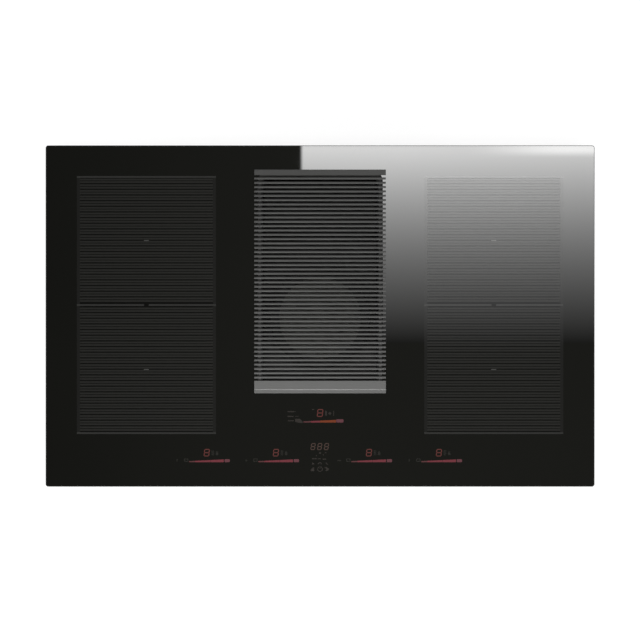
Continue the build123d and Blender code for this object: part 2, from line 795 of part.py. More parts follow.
def coil_plate_area(side):
    """The rectangle of one coil plate."""
    width = COIL_WIDTH + 2 * CARRIER_LIP + 2 * COIL_PLATE_MARGIN
    front = COIL_YS["front"] - COIL_DEPTH / 2 - CARRIER_LIP
    rear = COIL_YS["rear"] + COIL_DEPTH / 2 + CARRIER_LIP
    middle = side * ZONE_X
    return Area(middle - width / 2, middle + width / 2, front, rear)


def coil_plate(side):
    """Aluminium plate under two coils, folded down at its edges, with a vent under each coil."""
    area = coil_plate_area(side)
    high = COIL_PLATE_LOW + COIL_PLATE_THICK
    plate = area.slab(COIL_PLATE_LOW, high, FOLD_RADIUS)
    plate += area.frame(COIL_PLATE_LOW - COIL_PLATE_FOLD, high, COIL_PLATE_THICK, FOLD_RADIUS)
    holes = [clearance_hole(x, y, COIL_PLATE_LOW, high) for x, y in standoff_points(side)]
    for y in COIL_YS.values():
        holes.append(post(side * ZONE_X, y, COIL_PLATE_LOW - 1, high + 1, COIL_EYE / 2))
    return cut(plate, holes)


def standoffs():
    """Posts from the tray's floor up to the coil plates."""
    points = [point for side in SIDES.values() for point in standoff_points(side)]
    return group(post(x, y, TRAY_FLOOR, COIL_PLATE_LOW, STANDOFF_RADIUS) for x, y in points)


def coil_carrier(x, y):
    """Plastic carrier with a low lip round the winding and a hub for the sensor."""
    lip = CARRIER_LIP
    area = square(x, y, COIL_WIDTH, COIL_DEPTH).grown(lip)
    body = area.slab(CARRIER_LOW, COIL_LOW, COIL_CORNER + lip)
    body += area.frame(CARRIER_LOW, COIL_LOW + COIL_THICK / 2, lip - SEAT_PLAY, COIL_CORNER + lip)
    hub = SENSOR_RADIUS + SENSOR_WALL
    return body + ring(x, y, CARRIER_LOW, COIL_LOW + COIL_THICK / 2, hub, SENSOR_RADIUS)


def coil_winding(x, y):
    """Flat winding of litz wire, potted to one disc."""
    area = square(x, y, COIL_WIDTH, COIL_DEPTH)
    winding = area.slab(COIL_LOW, MICA_LOW, COIL_CORNER)
    return winding - post(x, y, COIL_LOW - 1, MICA_LOW + 1, COIL_EYE)


def coil_ferrites():
    """Ferrite bars set like spokes under each carrier."""
    bars = []
    middle = COIL_EYE + FERRITE_LENGTH / 2
    bar = square(middle, 0, FERRITE_LENGTH, FERRITE_WIDTH).slab(FERRITE_LOW, CARRIER_LOW)
    for side in SIDES.values():
        for y in COIL_YS.values():
            for spoke in range(FERRITE_COUNT):
                turn = Rot(0, 0, 360 * (spoke + 0.5) / FERRITE_COUNT)
                bars.append(Pos(side * ZONE_X, y) * turn * bar)
    return group(bars)


def coil_mica(x, y):
    """Insulating sheet between the winding and the glass."""
    area = square(x, y, COIL_WIDTH, COIL_DEPTH)
    sheet = area.slab(MICA_LOW, MICA_LOW + MICA_THICK, COIL_CORNER)
    return sheet - post(x, y, MICA_LOW - 1, GLASS_LOW, SENSOR_RADIUS + SENSOR_WALL)


def coil_sensor(x, y):
    """Temperature sensor that stands in the carrier's hub and touches the glass."""
    low = CARRIER_LOW + CARRIER_THICK
    outline = [
        (0, low),
        (SENSOR_RADIUS - SEAT_PLAY, low),
        (SENSOR_RADIUS - SEAT_PLAY, GLASS_LOW - SENSOR_TIP),
        (SENSOR_RADIUS / 2, GLASS_LOW),
        (0, GLASS_LOW),
    ]
    return turned(x, y, outline)


# ---- Power electronics ----------------------------------------------------------


def board_area(side):
    """The rectangle of one inverter board."""
    middle = side * ZONE_X
    return Area(middle - BOARD_WIDTH / 2, middle + BOARD_WIDTH / 2, BOARD_FRONT, BOARD_REAR)


def board_tray(side):
    """Plastic tray that insulates the inverter board, with posts under the board's corners."""
    area = board_area(side).grown(BOARD_TRAY_WALL + BOARD_PLAY)
    body = area.slab(TRAY_FLOOR, TRAY_FLOOR + BOARD_TRAY_WALL)
    body += area.frame(TRAY_FLOOR, TRAY_FLOOR + BOARD_TRAY_RIM, BOARD_TRAY_WALL)
    points = board_area(side).corners(BOARD_POST_INSET)
    return body + [post(x, y, TRAY_FLOOR + 1, BOARD_LOW, BOARD_POST_RADIUS) for x, y in points]


def inverter_board(side):
    """Circuit board of one pair of coils."""
    return board_area(side).slab(BOARD_LOW, BOARD_LOW + BOARD_THICK)


def heatsink(side):
    """Extruded heatsink: a base and upright fins along the air's path from the fan."""
    low = BOARD_LOW + BOARD_THICK
    left = side * (ZONE_X + HEATSINK_SHIFT) - HEATSINK_WIDTH / 2
    front = BOARD_FRONT + PARTS_LENGTH
    base = Area(left, left + HEATSINK_WIDTH, front, BOARD_REAR - HEATSINK_INSET)
    fins = []
    for fin in range(FIN_COUNT):
        left = base.left + fin * (HEATSINK_WIDTH - FIN_THICK) / (FIN_COUNT - 1)
        area = Area(left, left + FIN_THICK, base.front, base.rear)
        fins.append(area.slab(low + 1, low + HEATSINK_HEIGHT))
    return base.slab(low, low + HEATSINK_BASE) + fins


def choke(x, y, low):
    """Ring core choke, standing flat."""
    return ring(x, y, low, low + CHOKE_HEIGHT, CHOKE_RADIUS, CHOKE_EYE)


def inverter_parts(side):
    """Capacitors and a choke that stand on one inverter board, in front of the heatsink."""
    low = BOARD_LOW + BOARD_THICK
    inner = ZONE_X - BOARD_WIDTH / 2
    parts = []
    for row in range(3):
        y = BOARD_FRONT + PARTS_START + row * PARTS_PITCH
        x = side * (inner + CAPACITOR_INSET)
        parts.append(post(x, y, low, low + CAPACITOR_HEIGHT, CAPACITOR_RADIUS))
        film = square(side * (inner + FILM_INSET), y, FILM_WIDTH, FILM_DEPTH)
        parts.append(film.slab(low, low + FILM_HEIGHT))
    choke_x = side * (inner + BOARD_WIDTH - CHOKE_INSET)
    return [*parts, choke(choke_x, BOARD_FRONT + PARTS_START, low)]


def fan_frame(side):
    """Square fan frame with a bearing hub on four struts."""
    high = TRAY_FLOOR + FAN_HEIGHT
    body = square(0, 0, FAN_SIZE, FAN_SIZE).slab(TRAY_FLOOR, high, FAN_CORNER)
    body -= post(0, 0, TRAY_FLOOR - 1, high + 1, FAN_BORE)
    strut = square(0, 0, 2 * FAN_BORE + FAN_STRUT, FAN_STRUT).slab(TRAY_FLOOR, TRAY_FLOOR + FAN_FLOOR)
    body += [Rot(0, 0, turn) * strut for turn in (45, 135)]
    body += post(0, 0, TRAY_FLOOR, TRAY_FLOOR + FAN_SEAT, FAN_HUB)
    body -= post(0, 0, TRAY_FLOOR + 1, TRAY_FLOOR + FAN_SEAT + 1, FAN_PIN + RUNNING_PLAY)
    return Pos(side * ZONE_X, FAN_Y) * body


def fan_rotor(side):
    """Fan hub with pitched blades, on a pin that runs in the frame's hub."""
    low = TRAY_FLOOR + FAN_SEAT + 1
    high = TRAY_FLOOR + FAN_HEIGHT - 2
    room = ring(0, 0, low, high, FAN_TIP, FAN_HUB - 1)
    place = Pos((FAN_HUB + FAN_TIP) / 2, 0, (low + high) / 2) * Rot(FAN_BLADE_PITCH, 0, 0)
    sheet = place * Box(2 * (FAN_TIP - FAN_HUB), FAN_BLADE_THICK, 2 * (high - low))
    blade = sheet & (room & Area(0, FAN_TIP, -FAN_HUB, FAN_HUB).slab(low, high))
    blades = [Rot(0, 0, 360 * step / FAN_BLADES) * blade for step in range(FAN_BLADES)]
    rotor = post(0, 0, low, high, FAN_HUB) + blades
    rotor += post(0, 0, TRAY_FLOOR + 1 + SEAT_PLAY, low + 1, FAN_PIN)
    return Pos(side * ZONE_X, FAN_Y) * rotor


def side_board(side):
    """Narrow board beside the well, standing on four posts that are moulded to it."""
    left = side * SIDE_BOARD_X - SIDE_BOARD_WIDTH / 2
    area = Area(left, left + SIDE_BOARD_WIDTH, SIDE_BOARD_FRONT, SIDE_BOARD_REAR)
    board = area.slab(BOARD_LOW, BOARD_LOW + BOARD_THICK)
    points = area.corners(SIDE_POST_INSET)
    return board + [post(x, y, TRAY_FLOOR, BOARD_LOW + 1, SIDE_POST_RADIUS) for x, y in points]


def side_board_parts(side):
    """What stands on a side board: a choke, relays and a bulk capacitor."""
    low = BOARD_LOW + BOARD_THICK
    x = side * SIDE_BOARD_X
    parts = [choke(x, SIDE_BOARD_FRONT + SIDE_CHOKE_START, low)]
    for step in range(RELAY_COUNT):
        y = SIDE_BOARD_FRONT + RELAY_START + step * RELAY_PITCH
        parts.append(square(x, y, RELAY_WIDTH, RELAY_DEPTH).slab(low, low + RELAY_HEIGHT))
    return [*parts, post(x, SIDE_BOARD_REAR - BULK_END, low, low + BULK_HEIGHT, BULK_RADIUS)]


def power_parts():
    """Everything that stands on the four power boards."""
    parts = []
    for side in SIDES.values():
        parts += inverter_parts(side) + side_board_parts(side)
    return group(parts)


def terminal_x():
    """The terminal block and the gland share this x position."""
    return -SIDE_BOARD_X


def terminal_block():
    """Mains terminal block on the tray's floor."""
    high = TRAY_FLOOR + TERMINAL_HEIGHT
    area = square(terminal_x(), TERMINAL_Y, TERMINAL_WIDTH, TERMINAL_DEPTH)
    block = area.slab(TRAY_FLOOR, high, TERMINAL_CORNER)
    ways = []
    for way in range(TERMINAL_WAYS):
        x = terminal_x() + (way - (TERMINAL_WAYS - 1) / 2) * TERMINAL_PITCH
        ways.append(post(x, TERMINAL_Y, high - TERMINAL_WAY_DEPTH, high + 1, TERMINAL_WAY_RADIUS))
    return cut(block, ways)


def gland_cylinder(front, rear, radius):
    """A cylinder on the gland's axis between two y positions."""
    place = Pos(terminal_x(), (front + rear) / 2, TRAY_FLOOR + GLAND_HEIGHT)
    return place * Rot(90, 0, 0) * Cylinder(radius, rear - front)


def cable_gland():
    """Cable gland through the tray's rear wall, empty."""
    wall = TRAY.rear
    inner = wall - SHEET
    body = gland_cylinder(inner - GLAND_IN, wall + GLAND_OUT, GLAND_THREAD)
    body += gland_cylinder(wall, wall + GLAND_NUT_THICK, GLAND_NUT)
    body += gland_cylinder(inner - GLAND_LOCKNUT_THICK, inner, GLAND_NUT)
    return body - gland_cylinder(inner - GLAND_IN - 1, wall + GLAND_OUT + 1, GLAND_BORE)


# ---- Touch controls -------------------------------------------------------------


def control_outline(grow, low, high):
    """The T-shaped solid of the control board, grown outwards by a margin."""
    main = Area(-CONTROL_WIDTH / 2, CONTROL_WIDTH / 2, CONTROL_FRONT, CONTROL_REAR).grown(grow)
    tab = Area(-CONTROL_TAB_WIDTH / 2, CONTROL_TAB_WIDTH / 2, CONTROL_FRONT, CONTROL_TAB_REAR).grown(grow)
    return main.slab(low, high) + tab.slab(low, high)


def control_carrier():
    """Plastic cradle for the control board, on legs from the tray's floor."""
    low = CONTROL_LOW - CONTROL_RIM
    body = control_outline(CONTROL_WALL, low, CONTROL_LOW + BOARD_THICK)
    body -= control_outline(SEAT_PLAY, CONTROL_LOW, CONTROL_LOW + BOARD_THICK + 1)
    body -= control_outline(-CONTROL_WALL, low + CONTROL_WALL, CONTROL_LOW + 1)
    main = Area(-CONTROL_WIDTH / 2, CONTROL_WIDTH / 2, CONTROL_FRONT, CONTROL_REAR)
    places = main.corners(LEG_INSET)
    places += [(x, CONTROL_TAB_REAR - LEG_INSET) for x in (-LEG_SPREAD, LEG_SPREAD)]
    return body + [post(x, y, TRAY_FLOOR, low + 1, LEG_RADIUS) for x, y in places]


def control_board():
    """Board with the touch fields of the sliders."""
    return control_outline(0, CONTROL_LOW, CONTROL_LOW + BOARD_THICK)


def display_modules():
    """Seven-segment modules: one for each field and the hood, and one of three digits."""
    low = CONTROL_LOW + BOARD_THICK
    points = [(x, DIGIT_Y) for x in SLIDER_XS] + [(0, VENT_DIGIT_Y)]
    places = [square(x, y, DISPLAY_WIDTH, DISPLAY_DEPTH) for x, y in points]
    places.append(square(0, TIMER_Y, TIMER_WIDTH, DISPLAY_DEPTH))
    return group(place.slab(low, low + DISPLAY_HEIGHT) for place in places)


def light_guides():
    """Clear bars that carry light from the board up to each slider's scale."""
    low = CONTROL_LOW + BOARD_THICK
    places = [(x, SLIDER_Y) for x in SLIDER_XS] + [(0, VENT_SLIDER_Y)]
    bars = [square(x, y, GUIDE_LENGTH, GUIDE_WIDTH) for x, y in places]
    return group(bar.slab(low, GLASS_LOW - MICA_GAP) for bar in bars)


# ---- Blower ---------------------------------------------------------------------


def scroll_arcs():
    """Four quarter arcs about the corners of a small square, each wider than the last."""
    step = SCROLL_STEP
    centres = [(-step, step), (-step, -step), (step, -step), (step, step)]
    arcs = []
    for quarter, (x, y) in enumerate(centres):
        radius = SCROLL_START + quarter * SCROLL_GROWTH
        arcs.append(CenterArc((INLET_X + x, INLET_Y + y), radius, 90 * quarter, 90))
    return arcs


def scroll_inside(past=0.0):
    """The air's path seen from above: the scroll and its widening outlet, run past the rear."""
    arcs = scroll_arcs()
    start, end = arcs[0] @ 0, arcs[-1] @ 1
    spiral = make_face([*arcs, Line(end, start)])
    half = DUCT_WIDTH / 2 - DUCT_WALL
    tongue = arcs[0] @ (TONGUE_ANGLE / 90)
    rear = SCROLL_REAR
    outlet = [
        start,
        end,
        (DUCT_X + half, rear),
        (DUCT_X + half, rear + past),
        (DUCT_X - half, rear + past),
        (DUCT_X - half, rear),
        tongue,
    ]
    shape = spiral + make_face(Polyline(*outlet, close=True))
    corner = shape.vertices().sort_by_distance(tongue)[0]
    return fillet(corner, TONGUE_ROUND)


def scroll_outside(grow):
    """The same path grown outwards and cut off square at the rear."""
    shape = offset(scroll_inside(past=2 * grow), grow)
    behind = Area(-GLASS_WIDTH, GLASS_WIDTH, SCROLL_REAR, SCROLL_REAR + GLASS_DEPTH)
    return shape - behind.outline()


def scroll_slab(grow, low, high):
    """The solid of the scroll's outline between two heights."""
    return extrude(Pos(0, 0, low) * scroll_outside(grow), high - low)


def scroll_hollow(low, high):
    """The air's path as a solid that runs out past the rear end."""
    return extrude(Pos(0, 0, low) * scroll_inside(past=10), high - low)


def rim_screw_points():
    """Screws round the joint of the two shells, outside the air's path."""
    reach = SCROLL_WALL + RIM_WIDTH / 2
    arcs = scroll_arcs()
    points = []
    for arc in arcs[1:]:
        for share in (0.15, 0.6):
            edge = arc @ share
            away = edge - arc.arc_center
            points.append(edge + away.normalized() * reach)
    return [(point.X, point.Y) for point in points]


def wall_ribs(low, high):
    """Upright ribs on the outside of the scroll's wall."""
    rib = Box(WALL_RIB_REACH + WALL_RIB_ROOT, WALL_RIB_THICK, high - low)
    reach = SCROLL_WALL + (WALL_RIB_REACH - WALL_RIB_ROOT) / 2
    ribs = []
    for arc in scroll_arcs()[1:]:
        for share in WALL_RIB_SHARES:
            edge = arc @ share
            away = (edge - arc.arc_center).normalized()
            middle = edge + away * reach
            turn = Rot(0, 0, degrees(atan2(away.Y, away.X)))
            ribs.append(Pos(middle.X, middle.Y, (low + high) / 2) * turn * rib)
    return ribs


def scroll_lower():
    """Lower half of the blower housing: flat floor, ribbed wall and joint rim."""
    body = scroll_slab(SCROLL_WALL, 0, SPLIT)
    body = fillet(body.edges().group_by(Axis.Z)[0], SCROLL_ROUND)
    body += scroll_slab(SCROLL_WALL + RIM_WIDTH, SPLIT - RIM_THICK, SPLIT)
    body += wall_ribs(2 * SCROLL_ROUND, SPLIT - RIM_THICK)
    body -= scroll_hollow(SCROLL_WALL, SPLIT + 1)
    return cut(body, [clearance_hole(x, y, SPLIT - RIM_THICK, SPLIT) for x, y in rim_screw_points()])


def scroll_upper():
    """Upper half of the blower housing, with the round inlet."""
    body = scroll_slab(SCROLL_WALL, SPLIT, SCROLL_HEIGHT)
    body += scroll_slab(SCROLL_WALL + RIM_WIDTH, SPLIT, SPLIT + RIM_THICK)
    body += wall_ribs(SPLIT + RIM_THICK, SCROLL_HEIGHT - 2 * SCROLL_ROUND)
    body -= scroll_hollow(SPLIT - 1, SCROLL_HEIGHT - SCROLL_WALL)
    holes = [clearance_hole(x, y, SPLIT, SPLIT + RIM_THICK) for x, y in rim_screw_points()]
    holes.append(post(INLET_X, INLET_Y, SPLIT, SCROLL_HEIGHT + 1, MOUTH_RADIUS + MOUTH_WALL))
    return cut(body, holes)


def housing_screws():
    """Screws that hold the two shells together."""
    high = SPLIT + RIM_THICK
    length = 2 * RIM_THICK + THREAD_PAST
    return group(screw(x, y, high, length) for x, y in rim_screw_points())


def inlet_ring():
    """Bell mouth that leads the air into the impeller's eye."""
    top = SCROLL_HEIGHT + MOUTH_WALL
    place = Pos(MOUTH_RADIUS, 0, top - MOUTH_CURVE) * Rot(90, 0, 0)
    inner = place * CenterArc((0, 0), MOUTH_CURVE, 90, 90)
    outer = place * CenterArc((0, 0), MOUTH_CURVE - MOUTH_WALL, 90, 90)
    rim = MOUTH_RADIUS + MOUTH_FLANGE
    flange = Polyline(inner @ 0, (rim, 0, top), (rim, 0, SCROLL_HEIGHT), outer @ 0)
    section = make_face([*inner.edges(), *outer.edges(), *flange.edges(), Line(outer @ 1, inner @ 1)])
    return Pos(INLET_X, INLET_Y) * revolve(section, Axis.Z)


def inlet_gasket():
    """Foam ring between the inlet ring's flange and the well's floor."""
    return ring(INLET_X, INLET_Y, GASKET_LOW, WELL_LOW, MOUTH_RADIUS + GASKET_WIDTH, MOUTH_RADIUS)


def blower_plate():
    """Sheet that carries the blower, with a hole round the inlet ring."""
    top = SCROLL_HEIGHT + PLATE_THICK
    plate = BLOWER_PLATE.slab(SCROLL_HEIGHT, top, FOLD_RADIUS)
    holes = [post(INLET_X, INLET_Y, SCROLL_HEIGHT - 1, top + 1, MOUTH_RADIUS + MOUTH_FLANGE + 1)]
    return cut(plate, holes)


def blower_brackets():
    """Z-shaped straps from the blower plate's corners up to the tray's floor."""
    low = SCROLL_HEIGHT + PLATE_THICK
    half = BRACKET_FOOT / 2
    straps = []
    middle = (BLOWER_PLATE.left + BLOWER_PLATE.right) / 2
    for x, y in bracket_points():
        out = 1 if x > middle else -1
        web = x - out * half
        outline = [
            (x + out * half, TRAY_LOW),
            (web, TRAY_LOW),
            (web, low + PLATE_THICK),
            (web - out * half, low + PLATE_THICK),
            (web - out * half, low),
            (web + out * PLATE_THICK, low),
            (web + out * PLATE_THICK, TRAY_LOW - PLATE_THICK),
            (x + out * half, TRAY_LOW - PLATE_THICK),
        ]
        strap = bar_in_y(outline, y - BRACKET_WIDTH / 2, y + BRACKET_WIDTH / 2)
        straps.append(strap - clearance_hole(x, y, TRAY_LOW - PLATE_THICK, TRAY_LOW))
    return group(straps)


def bracket_screws():
    """Screws down through the tray's floor into the brackets."""
    length = SHEET + PLATE_THICK + THREAD_PAST
    return group(screw(x, y, TRAY_FLOOR, length) for x, y in bracket_points())


def duct_section(width, height, y):
    """An upright rectangle with rounded corners, facing the rear."""
    place = Pos(DUCT_X, y, SCROLL_HEIGHT / 2) * Rot(90, 0, 0)
    return place * RectangleRounded(width, height, DUCT_CORNER)


def outlet_spigot():
    """Transition from the housing's outlet to a stub for flat duct, with a flange at its root."""
    start = SCROLL_REAR
    bend = start + DUCT_TAPER
    wall = 2 * DUCT_WALL
    root = SCROLL_HEIGHT
    outer = loft([duct_section(DUCT_WIDTH, root, start), duct_section(DUCT_WIDTH, DUCT_HEIGHT, bend)])
    outer += extrude(duct_section(DUCT_WIDTH, DUCT_HEIGHT, bend), -DUCT_STUB)
    inner = loft(
        [
            duct_section(DUCT_WIDTH - wall, root - wall, start),
            duct_section(DUCT_WIDTH - wall, DUCT_HEIGHT - wall, bend),
        ]
    )
    inner += extrude(duct_section(DUCT_WIDTH - wall, DUCT_HEIGHT - wall, bend), -DUCT_STUB)
    return outer - inner


# ---- Impeller and motor ---------------------------------------------------------


def blade_outline():
    """A forward-curved blade seen from above: one arc, and the same arc turned by its thickness."""

    def point(radius, angle):
        return (radius * cos(radians(angle)), radius * sin(radians(angle)))

    middle = (BLADE_ROOT + IMPELLER_RADIUS) / 2
    turn = BLADE_THICK / radians(1) / middle
    rim = IMPELLER_RADIUS - BLADE_INSET
    edges = []
    for shift in (0, turn):
        ends = point(BLADE_ROOT, shift), point(rim, shift + BLADE_SWEEP)
        belly = point(middle, shift + BLADE_SWEEP / 2 - BLADE_BELLY / 2)
        edges.append(ThreePointArc(ends[0], belly, ends[1]))
    first, second = edges
    return make_face([first, Line(first @ 1, second @ 1), second, Line(second @ 0, first @ 0)])


def impeller_disc():
    """Back plate of the impeller with a dome over the motor and a hub on the shaft."""
    base = IMPELLER_BASE
    wall = IMPELLER_WALL
    dome = MOTOR_RADIUS + MOTOR_PLAY
    edge = DOME_EDGE
    hub = DOME_TOP + HUB_HEIGHT - wall
    outline = [
        (dome, base),
        (IMPELLER_RADIUS, base),
        (IMPELLER_RADIUS, base + wall),
        (dome + wall, base + wall),
        (dome + wall, DOME_TOP - edge),
        (dome + wall - edge, DOME_TOP),
        (HUB_RADIUS, DOME_TOP),
        (HUB_RADIUS, hub),
        (SHAFT_RADIUS, hub),
        (SHAFT_RADIUS, DOME_TOP - wall),
        (dome - edge, DOME_TOP - wall),
        (dome, DOME_TOP - wall - edge),
    ]
    return turned(INLET_X, INLET_Y, outline)


def impeller_blades():
    """Forward-curved blades that stand on the disc and carry the shroud."""
    foot = IMPELLER_BASE + IMPELLER_WALL
    blade = extrude(Pos(0, 0, foot) * blade_outline(), IMPELLER_TOP - IMPELLER_WALL - foot)
    middle = Pos(INLET_X, INLET_Y)
    return group(
        middle * Rot(0, 0, 360 * step / BLADE_COUNT) * blade for step in range(BLADE_COUNT)
    )


def impeller_shroud():
    """Ring that holds the blades together at the top."""
    inner = IMPELLER_RADIUS - SHROUD_WIDTH
    low = IMPELLER_TOP - IMPELLER_WALL
    return ring(INLET_X, INLET_Y, low, IMPELLER_TOP, IMPELLER_RADIUS, inner)


def motor_shaft():
    """Shaft that carries the impeller."""
    shaft = post(INLET_X, INLET_Y, MOTOR_LOW + SHAFT_LIFT, DOME_TOP + HUB_HEIGHT, SHAFT_RADIUS)
    return chamfer(shaft.edges().group_by(Axis.Z)[-1], SHAFT_EDGE)


def motor_body():
    """Motor can with a bearing seat at each end."""
    shoulder = MOTOR_TOP - MOTOR_SHOULDER
    outline = [
        (BEARING_RADIUS, MOTOR_LOW),
        (MOTOR_RADIUS, MOTOR_LOW),
        (MOTOR_RADIUS, shoulder),
        (MOTOR_RADIUS - MOTOR_CONE, MOTOR_TOP),
        (BEARING_RADIUS, MOTOR_TOP),
    ]
    return turned(INLET_X, INLET_Y, outline)


def motor_bearings():
    """Two ball bearings that the shaft runs in, drawn as plain rings."""
    bore = SHAFT_RADIUS + RUNNING_PLAY
    lows = (MOTOR_LOW, MOTOR_TOP - BEARING_WIDTH)
    return group(
        ring(INLET_X, INLET_Y, low, low + BEARING_WIDTH, BEARING_RADIUS, bore) for low in lows
    )


def motor_screw_points():
    """Three points round the motor."""
    turns = [radians(30 + 120 * step) for step in range(3)]
    reach = MOTOR_SCREW_CIRCLE
    return [(INLET_X + reach * cos(turn), INLET_Y + reach * sin(turn)) for turn in turns]


def motor_plate():
    """Round sheet under the motor."""
    high = MOTOR_PLATE_LOW + MOTOR_PLATE_THICK
    plate = post(INLET_X, INLET_Y, MOTOR_PLATE_LOW, high, MOTOR_PLATE_RADIUS)
    holes = [clearance_hole(x, y, MOTOR_PLATE_LOW, high) for x, y in motor_screw_points()]
    return cut(plate, holes)


def motor_grommets():
    """Rubber rings that keep the motor's hum out of the housing."""
    bore = SCREW_RADIUS + SCREW_PLAY
    return group(
        ring(x, y, SCROLL_WALL, MOTOR_PLATE_LOW, GROMMET_RADIUS, bore) for x, y in motor_screw_points()
    )


def motor_screws():
    """Low screws that hold the motor plate, ending flush with the housing's floor."""
    high = MOTOR_PLATE_LOW + MOTOR_PLATE_THICK
    return group(screw(x, y, high, high - SCROLL_WALL) for x, y in motor_screw_points())


# ---- Every sub-part by name -----------------------------------------------------


def each_coil(make):
    """The same piece under each of the four fields, as one group."""
    return group(make(side * ZONE_X, y).solid() for side in SIDES.values() for y in COIL_YS.values())


def each_side(make):
    """The same piece on the left and on the right, as one group."""
    return group(make(side).solid() for side in SIDES.values())


PARTS = {
    make.__name__: make()
    for make in (
        glass_panel,
        worktop_seal,
        glass_bond,
        well_gasket,
        grille,
        grille_pads,
        intake_well,
        filter_tray,
        filter_ring,
        filter_guard,
        filter_pad,
        base_tray,
        worktop_clamps,
        clamp_screws,
        coil_ferrites,
        standoffs,
        power_parts,
        terminal_block,
        cable_gland,
        control_carrier,
        control_board,
        display_modules,
        light_guides,
        scroll_lower,
        scroll_upper,
        housing_screws,
        inlet_ring,
        inlet_gasket,
        blower_plate,
        blower_brackets,
        bracket_screws,
        outlet_spigot,
        impeller_disc,
        impeller_blades,
        impeller_shroud,
        motor_shaft,
        motor_body,
        motor_bearings,
        motor_plate,
        motor_grommets,
        motor_screws,
    )
}
PARTS["coil_mica"] = each_coil(coil_mica)
PARTS["coil_sensors"] = each_coil(coil_sensor)
PARTS["board_trays"] = each_side(board_tray)
PARTS["inverter_boards"] = each_side(inverter_board)
PARTS["heatsinks"] = each_side(heatsink)
PARTS["fan_frames"] = each_side(fan_frame)
PARTS["side_boards"] = each_side(side_board)
for hand, side in SIDES.items():
    PARTS[f"coil_plate_{hand}"] = coil_plate(side)
    PARTS[f"fan_rotor_{hand}"] = fan_rotor(side)
    for row, y in COIL_YS.items():
        PARTS[f"coil_carrier_{row}_{hand}"] = coil_carrier(side * ZONE_X, y)
        PARTS[f"coil_winding_{row}_{hand}"] = coil_winding(side * ZONE_X, y)

os.makedirs("parts", exist_ok=True)
for name, part in PARTS.items():
    export_step(part, f"parts/{name}.step")
    print(name, round(part.volume))
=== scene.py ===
import json
import math

import bpy
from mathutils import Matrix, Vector

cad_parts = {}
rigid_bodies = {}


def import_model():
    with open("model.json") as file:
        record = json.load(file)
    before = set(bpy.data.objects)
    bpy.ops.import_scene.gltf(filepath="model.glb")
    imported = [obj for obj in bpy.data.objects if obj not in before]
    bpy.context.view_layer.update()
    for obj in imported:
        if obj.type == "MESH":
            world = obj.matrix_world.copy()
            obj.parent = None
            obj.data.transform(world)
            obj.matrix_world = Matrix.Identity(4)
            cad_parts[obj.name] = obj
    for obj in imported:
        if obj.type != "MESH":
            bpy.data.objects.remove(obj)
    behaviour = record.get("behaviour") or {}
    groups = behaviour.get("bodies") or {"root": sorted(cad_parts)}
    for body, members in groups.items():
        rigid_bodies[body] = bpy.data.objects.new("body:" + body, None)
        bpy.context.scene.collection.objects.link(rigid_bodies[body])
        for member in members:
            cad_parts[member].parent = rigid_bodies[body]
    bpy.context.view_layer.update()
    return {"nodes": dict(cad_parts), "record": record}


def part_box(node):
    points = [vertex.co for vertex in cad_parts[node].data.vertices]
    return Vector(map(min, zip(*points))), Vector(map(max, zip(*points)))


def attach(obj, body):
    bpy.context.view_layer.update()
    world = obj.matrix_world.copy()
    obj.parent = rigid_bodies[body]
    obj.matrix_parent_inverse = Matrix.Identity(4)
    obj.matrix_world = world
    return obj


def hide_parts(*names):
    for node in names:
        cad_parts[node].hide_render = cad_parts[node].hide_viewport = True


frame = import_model()
NODES = frame["nodes"]

MM = 0.001
GLASS_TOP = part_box("glass_panel")[1].z

# ---- Sizes of the prints, in millimetres, from the middle of the glass ------------------
#
# The edges of a sign are given as left, right, low and high.

# Cooking fields: hatched bands inside borders, on the right and mirrored on the left
FIELD_INNER = 157.5
FIELD_OUTER = 367.7
FIELD_REAR = 211.6
FIELD_FRONT = -178.3
FIELD_MIDDLE = 16.65
FIELD_GAP = 7.0
FIELD_END = 4.6
BORDER_WIDTH = 2.6
BAND_INSET = 1.2
BAND_PERIOD = 8.56
BAND_WIDTH = 2.83
BAND_STEP = 3.83
DASH_LENGTH = 7.5
DASH_WIDTH = 1.2
DASH_YS = (114.1, -80.8)

# Heights above the glass: every ink starts just inside it, and inks that overlap differ in height
INK_LOW = -0.01
INK_HIGH = 0.05
GROUND_HIGH = INK_HIGH - 0.02
BORDER_HIGH = INK_HIGH + 0.01
DASH_HIGH = INK_HIGH + 0.02

# Cooking sliders: a wedge that rises to the right from a level lower edge, parted by two gaps,
# and a rounded block; x is from the slider's middle and y from its lower edge
SLIDER_XS = (-170.9, -66.3, 74.4, 180.2)
SLIDER_Y = -221.0
WEDGE = {"left": -27.2, "right": 25.2, "low": 1.7, "high": 4.2, "gaps": ((-18.4, -18.2), (4.8, 5.1))}
BLOCK = (26.4, 34.4, 0.0, 4.6)
BLOCK_ROUNDING = 1.4

# Digits above the cooking sliders, moved a little to the left of the slider's middle
DIGIT_Y = -206.6
DIGIT_SHIFT = -0.5
DIGIT_SIZE = (8.6, 11.4)
DIGIT_STROKE = 1.4
DIGIT_GAP = 0.12
DIGIT_SLANT = 0.10

